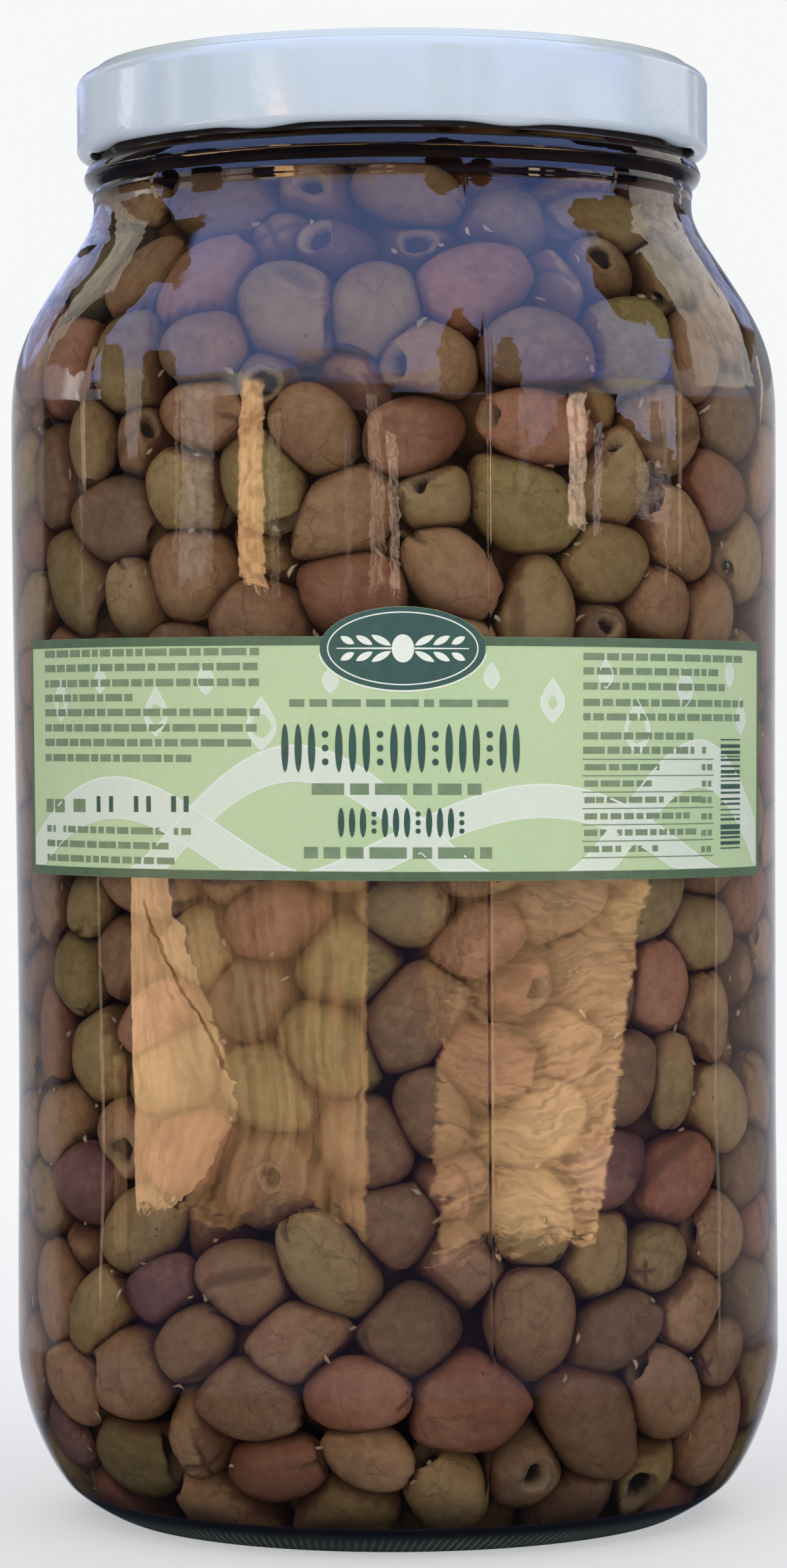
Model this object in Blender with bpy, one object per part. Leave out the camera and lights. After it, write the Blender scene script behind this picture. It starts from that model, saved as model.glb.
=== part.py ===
"""A large clear glass jar of pitted olives in oil, shut with a white metal twist-off lid.

Four pieces: the glass jar, what it holds (olives packed in oil, up to just under the rim), the lid and the front
label. Every round piece is turned about the vertical axis. The front of the jar faces -Y and it stands on z = 0.
Lengths are in millimetres up to the point where the meshes are made.
"""

import math

import bmesh
import bpy

MM = 0.001
SEGMENTS = 40  # sides of a round piece, one corner half a side away from the front
FIRST_ANGLE = -90.0 + 180.0 / SEGMENTS

# Glass: outside
BODY_TOP_R = 69.0  # just under the shoulder
WAIST_R = 68.42  # the body draws in half a millimetre, lowest at WAIST_Z
WAIST_Z = 80.0
FOOT_R = 68.72
FOOT_Z = 30.0  # top of the rounded heel
HEEL_R, HEEL_Z, HEEL_SLOPE = 60.4, 6.0, 52.0  # a point half way round the heel, and its slope in degrees
BEARING_R = 51.4  # the ring that the jar stands on
BEARING_WIDTH = 2.6
SHOULDER_Z = 195.8  # foot of the shoulder
TURN_R, TURN_Z, TURN_SLOPE = 58.45, 224.7, 0.664  # where the shoulder turns from round to hollow
NECK_R = 54.0
NECK_LOW_Z = 234.6
BEAD_R, BEAD_Z, BEAD_HALF = 55.68, 240.1, 2.1  # ring under the lid
FINISH_R = 52.7  # the wall that the lid grips
RIM_Z = 256.6

# Glass: inside
WALL = 3.0
MOUTH_R = 50.8
INSIDE_FLOOR_R, INSIDE_FLOOR_Z = 46.0, 5.0
PUSH_UP = 4.2  # height of the hollow under the base
FLOOR_Z = 8.0  # inside, on the axis

# Contents
GAP = 0.3
FILL_Z = 253.2

# Lid
LID_R = 56.93
LID_INNER_R = 56.3
LID_UNDER_Z = RIM_Z + GAP
LID_PANEL_Z = 258.6
LID_RING_Z = 259.8
LID_CORNER = 2.5
CURL_R, CURL_Z = 55.55, 245.1  # centre of the rolled lower edge
CURL_HALF = 1.38
LUGS = 8
LUG_FIRST_ANGLE = -90.0 - 24.0
LUG_HALF_ANGLE = 9.5
LUG_IN, LUG_DOWN = 0.95, 0.6

# Label
LABEL_LOW_Z, LABEL_TOP_Z = 115.2, 156.0
LABEL_HALF_ANGLE = 67.5
LABEL_THICK = 0.3
LABEL_STEPS = 60
LABEL_SKEW = 0.43  # degrees: the label is stuck on a little low at its right end
BADGE_ANGLE, BADGE_HALF_ANGLE = 1.1, 11.6  # a rounded crest on the label's upper edge
BADGE_CENTRE_Z, BADGE_HALF_HEIGHT = 154.0, 7.0


def hermite(start, end, leave, arrive, steps):
    """Points of a cubic from start to end that leaves and arrives along the given vectors."""
    points = []
    for k in range(steps + 1):
        s = k / steps
        a, b = 2 * s**3 - 3 * s**2 + 1, s**3 - 2 * s**2 + s
        c, d = -2 * s**3 + 3 * s**2, s**3 - s**2
        points.append(tuple(a * start[i] + b * leave[i] + c * end[i] + d * arrive[i] for i in (0, 1)))
    return points


def arc(centre, radius, start, end, steps):
    angles = [math.radians(start + (end - start) * k / steps) for k in range(steps + 1)]
    return [(centre[0] + radius * math.cos(a), centre[1] + radius * math.sin(a)) for a in angles]


def body_radius(z):
    """Outer radius of the straight part of the jar, which is drawn in a little at the waist."""
    if z < WAIST_Z:
        t = min(1.0, max(0.0, (z - FOOT_Z) / (WAIST_Z - FOOT_Z)))
        low, high = FOOT_R, WAIST_R
    else:
        t = min(1.0, (z - WAIST_Z) / (SHOULDER_Z - WAIST_Z))
        low, high = WAIST_R, BODY_TOP_R
    return low + (high - low) * t * t * (3 - 2 * t)


def shoulder_curve(steps_low, steps_high):
    """From the foot of the shoulder up to the neck."""
    rise = TURN_Z - SHOULDER_Z
    low = hermite(
        (BODY_TOP_R, SHOULDER_Z),
        (TURN_R, TURN_Z),
        (0, 1.35 * rise),
        (-TURN_SLOPE * 1.2 * rise, 1.2 * rise),
        steps_low,
    )
    rise = NECK_LOW_Z - TURN_Z
    high = hermite(
        (TURN_R, TURN_Z),
        (NECK_R, NECK_LOW_Z),
        (-TURN_SLOPE * 1.15 * rise, 1.15 * rise),
        (0, rise),
        steps_high,
    )
    return low + high[1:]


def outside():
    """The jar's outer outline, from the middle of the base up to the rim."""
    inner_ring = BEARING_R - BEARING_WIDTH
    slope = math.radians(HEEL_SLOPE)
    points = [(0, PUSH_UP), (22, PUSH_UP - 0.4), (38, PUSH_UP - 1.4), (45.6, 1.5), (inner_ring, 0.0), (BEARING_R, 0.0)]
    points += hermite((BEARING_R, 0), (HEEL_R, HEEL_Z), (7, 2.2), (8 * math.cos(slope), 8 * math.sin(slope)), 3)[1:]
    points += hermite(
        (HEEL_R, HEEL_Z), (FOOT_R, FOOT_Z), (22 * math.cos(slope), 22 * math.sin(slope)), (0, 22), 5
    )[1:]
    for z in (52, 80, 115, 156):
        points.append((body_radius(z), z))
    points += shoulder_curve(7, 3)
    points += [(NECK_R, BEAD_Z - BEAD_HALF - 0.3)]
    points += [
        (NECK_R + (BEAD_R - NECK_R) * math.cos(math.radians(a)), BEAD_Z + BEAD_HALF * math.sin(math.radians(a)))
        for a in (-60, -25, 10, 45)
    ]
    points += [(FINISH_R + 0.7, BEAD_Z + BEAD_HALF + 0.1), (FINISH_R, BEAD_Z + BEAD_HALF + 0.7)]
    points += [(FINISH_R, RIM_Z - 0.7), (FINISH_R - 0.7, RIM_Z)]
    return points


def moved_in(points, by):
    """A polyline moved to its left, which is inwards for an outline that runs upwards."""
    moved = []
    for k, (r, z) in enumerate(points):
        before, after = points[max(0, k - 1)], points[min(len(points) - 1, k + 1)]
        dr, dz = after[0] - before[0], after[1] - before[1]
        length = math.hypot(dr, dz)
        moved.append((r - by * dz / length, z + by * dr / length))
    return moved


def inside(clear=0.0):
    """The inner outline from the middle of the floor up to the mouth, or the same moved in by a clearance."""
    points = [(0, FLOOR_Z), (20, FLOOR_Z - 0.4), (38, FLOOR_Z - 1.7)]
    wall_low = body_radius(FOOT_Z) - WALL
    points += hermite((INSIDE_FLOOR_R, INSIDE_FLOOR_Z), (wall_low, FOOT_Z + 1), (30, 1.5), (0, 34), 6)
    for z in (70, 130):
        points.append((body_radius(z) - WALL, z))
    points += moved_in(shoulder_curve(6, 3), WALL)[:-1]
    points.append((MOUTH_R, NECK_LOW_Z + 1.0))
    if clear:
        points = moved_in(points, clear)
        points[0] = (0, FLOOR_Z + clear)
    return points


def turned(bm, outline, shape=None):
    """Turns an outline that starts and ends on the axis. shape(r, z, degrees) may move a point."""
    rings = []
    for number, (r, z) in enumerate(outline):
        if r < 1e-6:
            rings.append([bm.verts.new((0, 0, z * MM))])
            continue
        ring = []
        for k in range(SEGMENTS):
            angle = FIRST_ANGLE + 360.0 * k / SEGMENTS
            rr, zz = shape(number, r, z, angle) if shape else (r, z)
            a = math.radians(angle)
            ring.append(bm.verts.new((rr * math.cos(a) * MM, rr * math.sin(a) * MM, zz * MM)))
        rings.append(ring)
    for low, high in zip(rings[:-1], rings[1:]):
        for k in range(SEGMENTS):
            n = (k + 1) % SEGMENTS
            if len(low) == 1:
                bm.faces.new((low[0], high[n], high[k]))
            elif len(high) == 1:
                bm.faces.new((low[k], low[n], high[0]))
            else:
                bm.faces.new((low[k], low[n], high[n], high[k]))


def finished(bm, name, colour, roughness, transmission=0.0, ior=1.5, sharp=35.0):
    mesh = bpy.data.meshes.new(name)
    bmesh.ops.recalc_face_normals(bm, faces=bm.faces)
    bm.to_mesh(mesh)
    bm.free()
    mesh.shade_smooth()
    mesh.set_sharp_from_angle(angle=math.radians(sharp))
    material = bpy.data.materials.new(name)
    material.use_nodes = True
    shader = material.node_tree.nodes["Principled BSDF"]
    shader.inputs["Base Color"].default_value = (*colour, 1.0)
    shader.inputs["Roughness"].default_value = roughness
    shader.inputs["Transmission Weight"].default_value = transmission
    shader.inputs["IOR"].default_value = ior
    mesh.materials.append(material)
    piece = bpy.data.objects.new(name, mesh)
    bpy.context.scene.collection.objects.link(piece)
    return piece


def make_jar():
    bm = bmesh.new()
    down = [(MOUTH_R + 0.6, RIM_Z), (MOUTH_R, RIM_Z - 0.6)] + inside()[::-1]
    turned(bm, outside() + down)
    return finished(bm, "jar", (0.86, 0.93, 0.89), 0.02, transmission=1.0)


def make_contents():
    bm = bmesh.new()
    outline = inside(GAP)
    outline.append((MOUTH_R - GAP, FILL_Z))
    outline.append((0, FILL_Z))
    turned(bm, outline)
    return finished(bm, "contents", (0.27, 0.17, 0.07), 0.25, ior=1.47)


def lug(angle):
    """How far a point at this angle is into a lug, from 0 to 1."""
    step = 360.0 / LUGS
    off = (angle - LUG_FIRST_ANGLE + step / 2) % step - step / 2
    return 0.5 + 0.5 * math.cos(math.pi * off / LUG_HALF_ANGLE) if abs(off) < LUG_HALF_ANGLE else 0.0


def make_lid():
    """A cap with a raised ring round its top and a rolled lower edge, pressed in at the lugs."""
    bm = bmesh.new()
    roll = arc((CURL_R, CURL_Z), CURL_HALF, 150, 360, 6)
    under = [(0, LID_UNDER_Z), (LID_INNER_R - 0.8, LID_UNDER_Z), (LID_INNER_R, LID_UNDER_Z - 0.8)]
    under += [(LID_INNER_R, CURL_Z + 1.9)]
    side = arc((LID_R - LID_CORNER, LID_RING_Z - 1.35 - LID_CORNER), LID_CORNER, 0, 90, 4)
    top = [(54.05, LID_RING_Z - 1.2), (53.6, LID_RING_Z - 0.4), (52.9, LID_RING_Z), (51.7, LID_RING_Z)]
    top += [(50.9, LID_RING_Z - 0.4), (50.1, LID_PANEL_Z), (17.5, LID_PANEL_Z), (15.0, LID_PANEL_Z + 0.5), (0, LID_PANEL_Z + 0.5)]
    rolled = range(len(under), len(under) + len(roll) - 2)

    def press(number, r, z, angle):
        if number not in rolled:
            return r, z
        inward = max(0.0, (CURL_R + 0.6 - r) / (CURL_HALF + 0.6))
        depth = lug(angle)
        return r - LUG_IN * depth * inward, z - LUG_DOWN * depth * max(0.0, (CURL_Z + 0.8 - z) / 2.2)

    turned(bm, under + roll + side + top, press)
    return finished(bm, "lid", (0.80, 0.84, 0.90), 0.25)


def make_label():
    """A thin sheet bent round the front, with a rounded crest on its upper edge."""
    bm = bmesh.new()
    corners = []
    for k in range(LABEL_STEPS + 1):
        angle = -LABEL_HALF_ANGLE + 2 * LABEL_HALF_ANGLE * k / LABEL_STEPS
        off = (angle - BADGE_ANGLE) / BADGE_HALF_ANGLE
        top = LABEL_TOP_Z
        if abs(off) < 1:
            top = max(top, BADGE_CENTRE_Z + BADGE_HALF_HEIGHT * math.sqrt(1 - off * off))
        a = math.radians(angle - 90)
        drop = math.tan(math.radians(LABEL_SKEW)) * WAIST_R * math.cos(a)
        column = []
        for z, out in ((LABEL_LOW_Z, 0), (LABEL_LOW_Z, 1), (top, 1), (top, 0)):
            r = body_radius(z) + GAP + out * LABEL_THICK
            column.append(bm.verts.new((r * math.cos(a) * MM, r * math.sin(a) * MM, (z - drop) * MM)))
        corners.append(column)
    for left, right in zip(corners[:-1], corners[1:]):
        for i in range(4):
            j = (i + 1) % 4
            bm.faces.new((left[i], right[i], right[j], left[j]))
    bm.faces.new(corners[0])
    bm.faces.new(corners[-1][::-1])
    return finished(bm, "label", (0.60, 0.76, 0.47), 0.5)


def main():
    for old in list(bpy.data.objects):
        bpy.data.objects.remove(old, do_unlink=True)
    make_jar()
    make_contents()
    make_lid()
    make_label()


main()
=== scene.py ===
"""Looks of a large clear glass jar of pitted olives in oil, with a white twist-off lid and a pale green paper label.

The front faces -Y and the jar stands on z = 0. Lengths are in millimetres up to the point where meshes are made.
The jar, lid and label repeat the outlines of the CAD model with finer steps. The olives are packed by a seeded
relaxation: ellipsoids that push each other apart inside the glass, flattened where they meet.
"""

import math

import bpy
import numpy as np
from mathutils import Matrix, Vector


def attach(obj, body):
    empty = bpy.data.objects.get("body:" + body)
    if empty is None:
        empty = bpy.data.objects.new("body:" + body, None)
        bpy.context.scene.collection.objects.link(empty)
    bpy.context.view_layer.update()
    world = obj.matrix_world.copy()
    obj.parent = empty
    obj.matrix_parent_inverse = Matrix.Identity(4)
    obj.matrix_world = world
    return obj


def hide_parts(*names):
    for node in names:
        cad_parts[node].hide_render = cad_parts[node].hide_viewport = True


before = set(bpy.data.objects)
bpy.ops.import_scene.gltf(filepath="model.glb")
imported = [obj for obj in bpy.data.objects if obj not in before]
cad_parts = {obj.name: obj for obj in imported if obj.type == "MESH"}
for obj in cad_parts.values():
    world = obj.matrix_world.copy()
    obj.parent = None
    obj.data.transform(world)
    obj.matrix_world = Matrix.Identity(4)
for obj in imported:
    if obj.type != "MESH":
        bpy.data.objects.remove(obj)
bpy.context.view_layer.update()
MM = 0.001

# ---------------------------------------------------------------- camera
FOCAL_PX, IMAGE_W, IMAGE_H = 7233.0, 1200.0, 2391.0
CAM_X, CAM_D, CAM_Z = -0.36, 860.0, 138.7
CAM_PITCH, CAM_ROLL = -0.53, -0.30


def make_camera():
    data = bpy.data.cameras.new("camera")
    data.sensor_fit = "VERTICAL"
    data.sensor_height = 24.0
    data.lens = FOCAL_PX / IMAGE_H * 24.0
    data.clip_start = 0.05
    data.clip_end = 50.0
    camera = bpy.data.objects.new("camera", data)
    bpy.context.scene.collection.objects.link(camera)
    turn = Matrix.Rotation(math.radians(90 + CAM_PITCH), 4, "X") @ Matrix.Rotation(math.radians(CAM_ROLL), 4, "Z")
    camera.matrix_world = Matrix.Translation(Vector((CAM_X, -CAM_D, CAM_Z)) * MM) @ turn
    bpy.context.scene.camera = camera
    return turn.to_3x3()


CAM_TURN = make_camera()


# ---------------------------------------------------------------- outlines, as in the CAD model
BODY_TOP_R, WAIST_R, WAIST_Z, FOOT_R, FOOT_Z = 69.0, 68.42, 80.0, 68.72, 30.0
HEEL_R, HEEL_Z, HEEL_SLOPE = 60.4, 6.0, 52.0
BEARING_R, BEARING_WIDTH = 51.4, 2.6
SHOULDER_Z = 195.8
TURN_R, TURN_Z, TURN_SLOPE = 58.45, 224.7, 0.664
NECK_R, NECK_LOW_Z = 54.0, 234.6
BEAD_R, BEAD_Z, BEAD_HALF = 55.68, 240.1, 2.1
FINISH_R, RIM_Z = 52.7, 256.6
WALL, MOUTH_R = 3.0, 50.8
INSIDE_FLOOR_R, INSIDE_FLOOR_Z = 46.0, 5.0
PUSH_UP, FLOOR_Z, FILL_Z = 4.2, 8.0, 253.2
LID_R, LID_INNER_R, LID_UNDER_Z, LID_PANEL_Z, LID_RING_Z, LID_CORNER = 56.93, 56.3, 256.9, 258.6, 259.8, 2.5
CURL_R, CURL_Z, CURL_HALF = 55.55, 245.1, 1.38
LUGS, LUG_FIRST, LUG_HALF = 8, -24.0, 9.5
LUG_IN, LUG_DOWN = 0.95, 0.6
LABEL_LOW_Z, LABEL_TOP_Z, LABEL_HALF, LABEL_SKEW = 115.2, 156.0, 67.5, 0.43
BADGE_AT, BADGE_HALF, BADGE_Z, BADGE_TALL = 1.1, 11.6, 154.0, 7.0
SEAM = 13.3  # degrees from the front to the mould's parting line, which also runs down the back


def hermite(start, end, leave, arrive, steps):
    s = np.linspace(0, 1, steps + 1)[:, None]
    a, b, c, d = 2 * s**3 - 3 * s**2 + 1, s**3 - 2 * s**2 + s, -2 * s**3 + 3 * s**2, s**3 - s**2
    return [tuple(p) for p in a * np.array(start) + b * np.array(leave) + c * np.array(end) + d * np.array(arrive)]


def arc(centre, radius, start, end, steps):
    angles = np.radians(np.linspace(start, end, steps + 1))
    return [(centre[0] + radius * math.cos(a), centre[1] + radius * math.sin(a)) for a in angles]


def body_radius(z):
    z = np.asarray(z, float)
    low = np.clip((z - FOOT_Z) / (WAIST_Z - FOOT_Z), 0, 1)
    high = np.clip((z - WAIST_Z) / (SHOULDER_Z - WAIST_Z), 0, 1)
    return np.where(
        z < WAIST_Z,
        FOOT_R + (WAIST_R - FOOT_R) * low * low * (3 - 2 * low),
        WAIST_R + (BODY_TOP_R - WAIST_R) * high * high * (3 - 2 * high),
    )


def shoulder_curve(steps_low, steps_high):
    rise = TURN_Z - SHOULDER_Z
    low = hermite(
        (BODY_TOP_R, SHOULDER_Z), (TURN_R, TURN_Z), (0, 1.35 * rise), (-TURN_SLOPE * 1.2 * rise, 1.2 * rise), steps_low
    )
    rise = NECK_LOW_Z - TURN_Z
    high = hermite(
        (TURN_R, TURN_Z), (NECK_R, NECK_LOW_Z), (-TURN_SLOPE * 1.15 * rise, 1.15 * rise), (0, rise), steps_high
    )
    return low + high[1:]


def outside():
    ring = BEARING_R - BEARING_WIDTH
    slope = math.radians(HEEL_SLOPE)
    points = [(0, PUSH_UP), (10, PUSH_UP - 0.1), (22, PUSH_UP - 0.4), (30, PUSH_UP - 0.8), (38, PUSH_UP - 1.4)]
    points += [(42.5, 2.1), (45.6, 1.5), (47.6, 0.5), (ring + 0.2, 0.06), (ring + 0.8, 0.0), (BEARING_R - 0.5, 0.0)]
    points += [(BEARING_R + 0.1, 0.08)]
    points += hermite((BEARING_R, 0), (HEEL_R, HEEL_Z), (7, 2.2), (8 * math.cos(slope), 8 * math.sin(slope)), 12)[1:]
    points += hermite(
        (HEEL_R, HEEL_Z), (FOOT_R, FOOT_Z), (22 * math.cos(slope), 22 * math.sin(slope)), (0, 22), 22
    )[1:]
    points += [(float(body_radius(z)), float(z)) for z in np.linspace(FOOT_Z, SHOULDER_Z, 56)[1:-1]]
    points += shoulder_curve(22, 9)
    points += [(NECK_R, 235.6), (NECK_R, 236.6), (NECK_R, BEAD_Z - BEAD_HALF - 0.3)]
    points += [(54.25, 237.85), (54.8, 238.25), (55.3, 238.85), (55.6, 239.55), (BEAD_R, BEAD_Z), (55.6, 240.5), (55.4, 241.0)]
    points += [(55.15, 241.6), (54.9, 241.95), (54.4, 242.2), (53.6, 242.35)]
    points += [(FINISH_R, BEAD_Z + BEAD_HALF + 0.8), (FINISH_R, RIM_Z - 0.7), (FINISH_R - 0.2, RIM_Z - 0.2)]
    points += [(FINISH_R - 0.7, RIM_Z)]
    return points


def moved_in(points, by):
    p = np.array(points, float)
    before, after = np.vstack([p[:1], p[:-1]]), np.vstack([p[1:], p[-1:]])
    d = after - before
    n = np.column_stack([-d[:, 1], d[:, 0]]) / np.hypot(d[:, 0], d[:, 1])[:, None]
    return [tuple(q) for q in p + by * n]


def inside(clear=0.0):
    points = [(0, FLOOR_Z), (10, FLOOR_Z - 0.1), (20, FLOOR_Z - 0.4), (30, FLOOR_Z - 0.95), (38, FLOOR_Z - 1.7)]
    low = float(body_radius(FOOT_Z)) - WALL
    points += hermite((INSIDE_FLOOR_R, INSIDE_FLOOR_Z), (low, FOOT_Z + 1), (30, 1.5), (0, 34), 24)
    points += [(float(body_radius(z)) - WALL, float(z)) for z in np.linspace(FOOT_Z + 1, SHOULDER_Z, 46)[1:-1]]
    points += moved_in(shoulder_curve(20, 8), WALL)[:-1]
    points.append((MOUTH_R, NECK_LOW_Z + 1.0))
    if clear:
        points = moved_in(points, clear)
        points[0] = (0, FLOOR_Z + clear)
    return points


# ---------------------------------------------------------------- mesh and node helpers
def mesh_object(name, verts, polys, material, smooth=True, slots=None, sharp=None):
    """verts in mm as an array, polys a list of integer arrays, each (count, corners)."""
    mesh = bpy.data.meshes.new(name)
    verts = np.asarray(verts, np.float64) * MM
    polys = [np.asarray(p, np.int32) for p in polys if len(p)]
    count = sum(len(p) for p in polys)
    mesh.vertices.add(len(verts))
    mesh.vertices.foreach_set("co", verts.astype(np.float32).ravel())
    loops = np.concatenate([p.ravel() for p in polys])
    sizes = np.concatenate([np.full(len(p), p.shape[1], np.int32) for p in polys])
    mesh.loops.add(len(loops))
    mesh.loops.foreach_set("vertex_index", loops)
    mesh.polygons.add(count)
    mesh.polygons.foreach_set("loop_start", (np.cumsum(sizes) - sizes).astype(np.int32))
    mesh.polygons.foreach_set("loop_total", sizes)
    if slots is not None:
        mesh.polygons.foreach_set("material_index", np.asarray(slots, np.int32))
    mesh.update(calc_edges=True)
    mesh.validate()
    if smooth:
        mesh.shade_smooth()
        if sharp:
            mesh.set_sharp_from_angle(angle=math.radians(sharp))
    for m in material if isinstance(material, (list, tuple)) else [material]:
        mesh.materials.append(m)
    piece = bpy.data.objects.new(name, mesh)
    bpy.context.scene.collection.objects.link(piece)
    return piece


def attribute(piece, name, values, kind="FLOAT"):
    layer = piece.data.attributes.new(name, kind, "POINT")
    layer.data.foreach_set("value" if kind == "FLOAT" else "vector", np.asarray(values, np.float32).ravel())


def revolve(outline, angles, shape=None):
    """Verts and polys of an outline turned about Z. Angles in degrees from the front, towards +X."""
    outline = np.array(outline, float)
    a = np.radians(np.asarray(angles, float))
    n = len(a)
    on_axis = outline[:, 0] < 1e-6
    starts, verts, at = [], [], 0
    for k, (r, z) in enumerate(outline):
        starts.append(at)
        if on_axis[k]:
            verts.append(np.array([[0, 0, z]]))
            at += 1
            continue
        rr, zz = (np.full(n, r), np.full(n, z)) if shape is None else shape(k, r, z, np.degrees(a))
        verts.append(np.column_stack([rr * np.sin(a), -rr * np.cos(a), zz]))
        at += n
    tris, quads, band = [], [], []
    here, after = np.arange(n), (np.arange(n) + 1) % n
    for k in range(len(outline) - 1):
        s, t = starts[k], starts[k + 1]
        if on_axis[k] and on_axis[k + 1]:
            continue
        if on_axis[k]:
            tris.append(np.column_stack([np.full(n, s), t + after, t + here]))
        elif on_axis[k + 1]:
            tris.append(np.column_stack([s + here, s + after, np.full(n, t)]))
        else:
            quads.append(np.column_stack([s + here, s + after, t + after, t + here]))
            band.append(np.full(n, k))
    quads = np.concatenate(quads)
    tris = np.concatenate(tris) if tris else np.zeros((0, 3), int)
    return np.concatenate(verts), quads, tris, np.concatenate(band)


class Nodes:
    """Short calls for building a node tree."""

    def __init__(self, name):
        self.material = bpy.data.materials.new(name)
        self.material.use_nodes = True
        self.tree = self.material.node_tree
        self.shader = self.tree.nodes["Principled BSDF"]
        self.out = self.tree.nodes["Material Output"]

    def set(self, **values):
        for key, value in values.items():
            self.shader.inputs[key.replace("_", " ")].default_value = value
        return self

    def node(self, kind, inputs=None, **props):
        made = self.tree.nodes.new(kind)
        for key, value in props.items():
            setattr(made, key, value)
        for key, value in (inputs or {}).items():
            self.feed(made.inputs[key], value)
        return made

    def feed(self, socket, value):
        if isinstance(value, bpy.types.NodeSocket):
            self.tree.links.new(value, socket)
        elif isinstance(value, bpy.types.Node):
            self.tree.links.new(value.outputs[0], socket)
        else:
            socket.default_value = value

    def math(self, operation, a, b=0.5, clamp=False):
        made = self.node("ShaderNodeMath", operation=operation, use_clamp=clamp)
        self.feed(made.inputs[0], a)
        self.feed(made.inputs[1], b)
        return made.outputs[0]

    def mix(self, factor, a, b, blend="MIX"):
        made = self.node("ShaderNodeMix", data_type="RGBA", blend_type=blend)
        self.feed(made.inputs[0], factor)
        self.feed(made.inputs[6], a if isinstance(a, (bpy.types.NodeSocket, bpy.types.Node)) else (*a[:3], 1.0))
        self.feed(made.inputs[7], b if isinstance(b, (bpy.types.NodeSocket, bpy.types.Node)) else (*b[:3], 1.0))
        return made.outputs[2]

    def ramp(self, factor, stops, interpolation="LINEAR"):
        made = self.node("ShaderNodeValToRGB")
        made.color_ramp.interpolation = interpolation
        elements = made.color_ramp.elements
        while len(elements) < len(stops):
            elements.new(0.5)
        for element, (at, colour) in zip(elements, stops):
            element.position = at
            element.color = (*colour[:3], 1.0) if hasattr(colour, "__len__") else (colour, colour, colour, 1.0)
        self.feed(made.inputs[0], factor)
        return made.outputs[0]

    def noise(self, vector, scale, detail=2.0, rough=0.5, distort=0.0):
        made = self.node("ShaderNodeTexNoise")
        self.feed(made.inputs["Vector"], vector)
        made.inputs["Scale"].default_value = scale
        made.inputs["Detail"].default_value = detail
        made.inputs["Roughness"].default_value = rough
        made.inputs["Distortion"].default_value = distort
        return made.outputs[0]

    def coords(self):
        return self.node("ShaderNodeTexCoord").outputs["Object"]

    def bump(self, height, distance, strength=1.0, normal=None):
        made = self.node("ShaderNodeBump")
        made.inputs["Strength"].default_value = strength
        made.inputs["Distance"].default_value = distance
        self.feed(made.inputs["Height"], height)
        if normal is not None:
            self.feed(made.inputs["Normal"], normal)
        return made.outputs[0]

    def link(self, a, socket):
        self.feed(self.shader.inputs[socket], a)


# ---------------------------------------------------------------- glass
def glass_material(name, ior, tint, wavy):
    n = Nodes(name)
    n.set(Roughness=0.0, IOR=ior)
    n.set(**{"Transmission_Weight": 1.0, "Base_Color": (*tint, 1.0)})
    if wavy:
        pos = n.coords()
        stretch = n.node("ShaderNodeMapping", {"Vector": pos})
        stretch.inputs["Scale"].default_value = (1.0, 1.0, 0.35)
        slow = n.noise(stretch, 34.0, 2.0)
        height = n.math("ADD", slow, n.math("MULTIPLY", n.noise(pos, 170.0, 2.0), 0.025))
        n.link(n.bump(height, 0.0011, 0.35), "Normal")
    clear = n.node("ShaderNodeBsdfTransparent", {"Color": (0.90, 0.925, 0.905, 1.0)})
    path = n.node("ShaderNodeLightPath")
    either = n.math("MAXIMUM", path.outputs["Is Shadow Ray"], path.outputs["Is Diffuse Ray"])
    mixed = n.node("ShaderNodeMixShader")
    n.feed(mixed.inputs[0], either)
    n.feed(mixed.inputs[1], n.shader.outputs[0])
    n.feed(mixed.inputs[2], clear)
    n.feed(n.out.inputs["Surface"], mixed)
    return n.material


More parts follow.
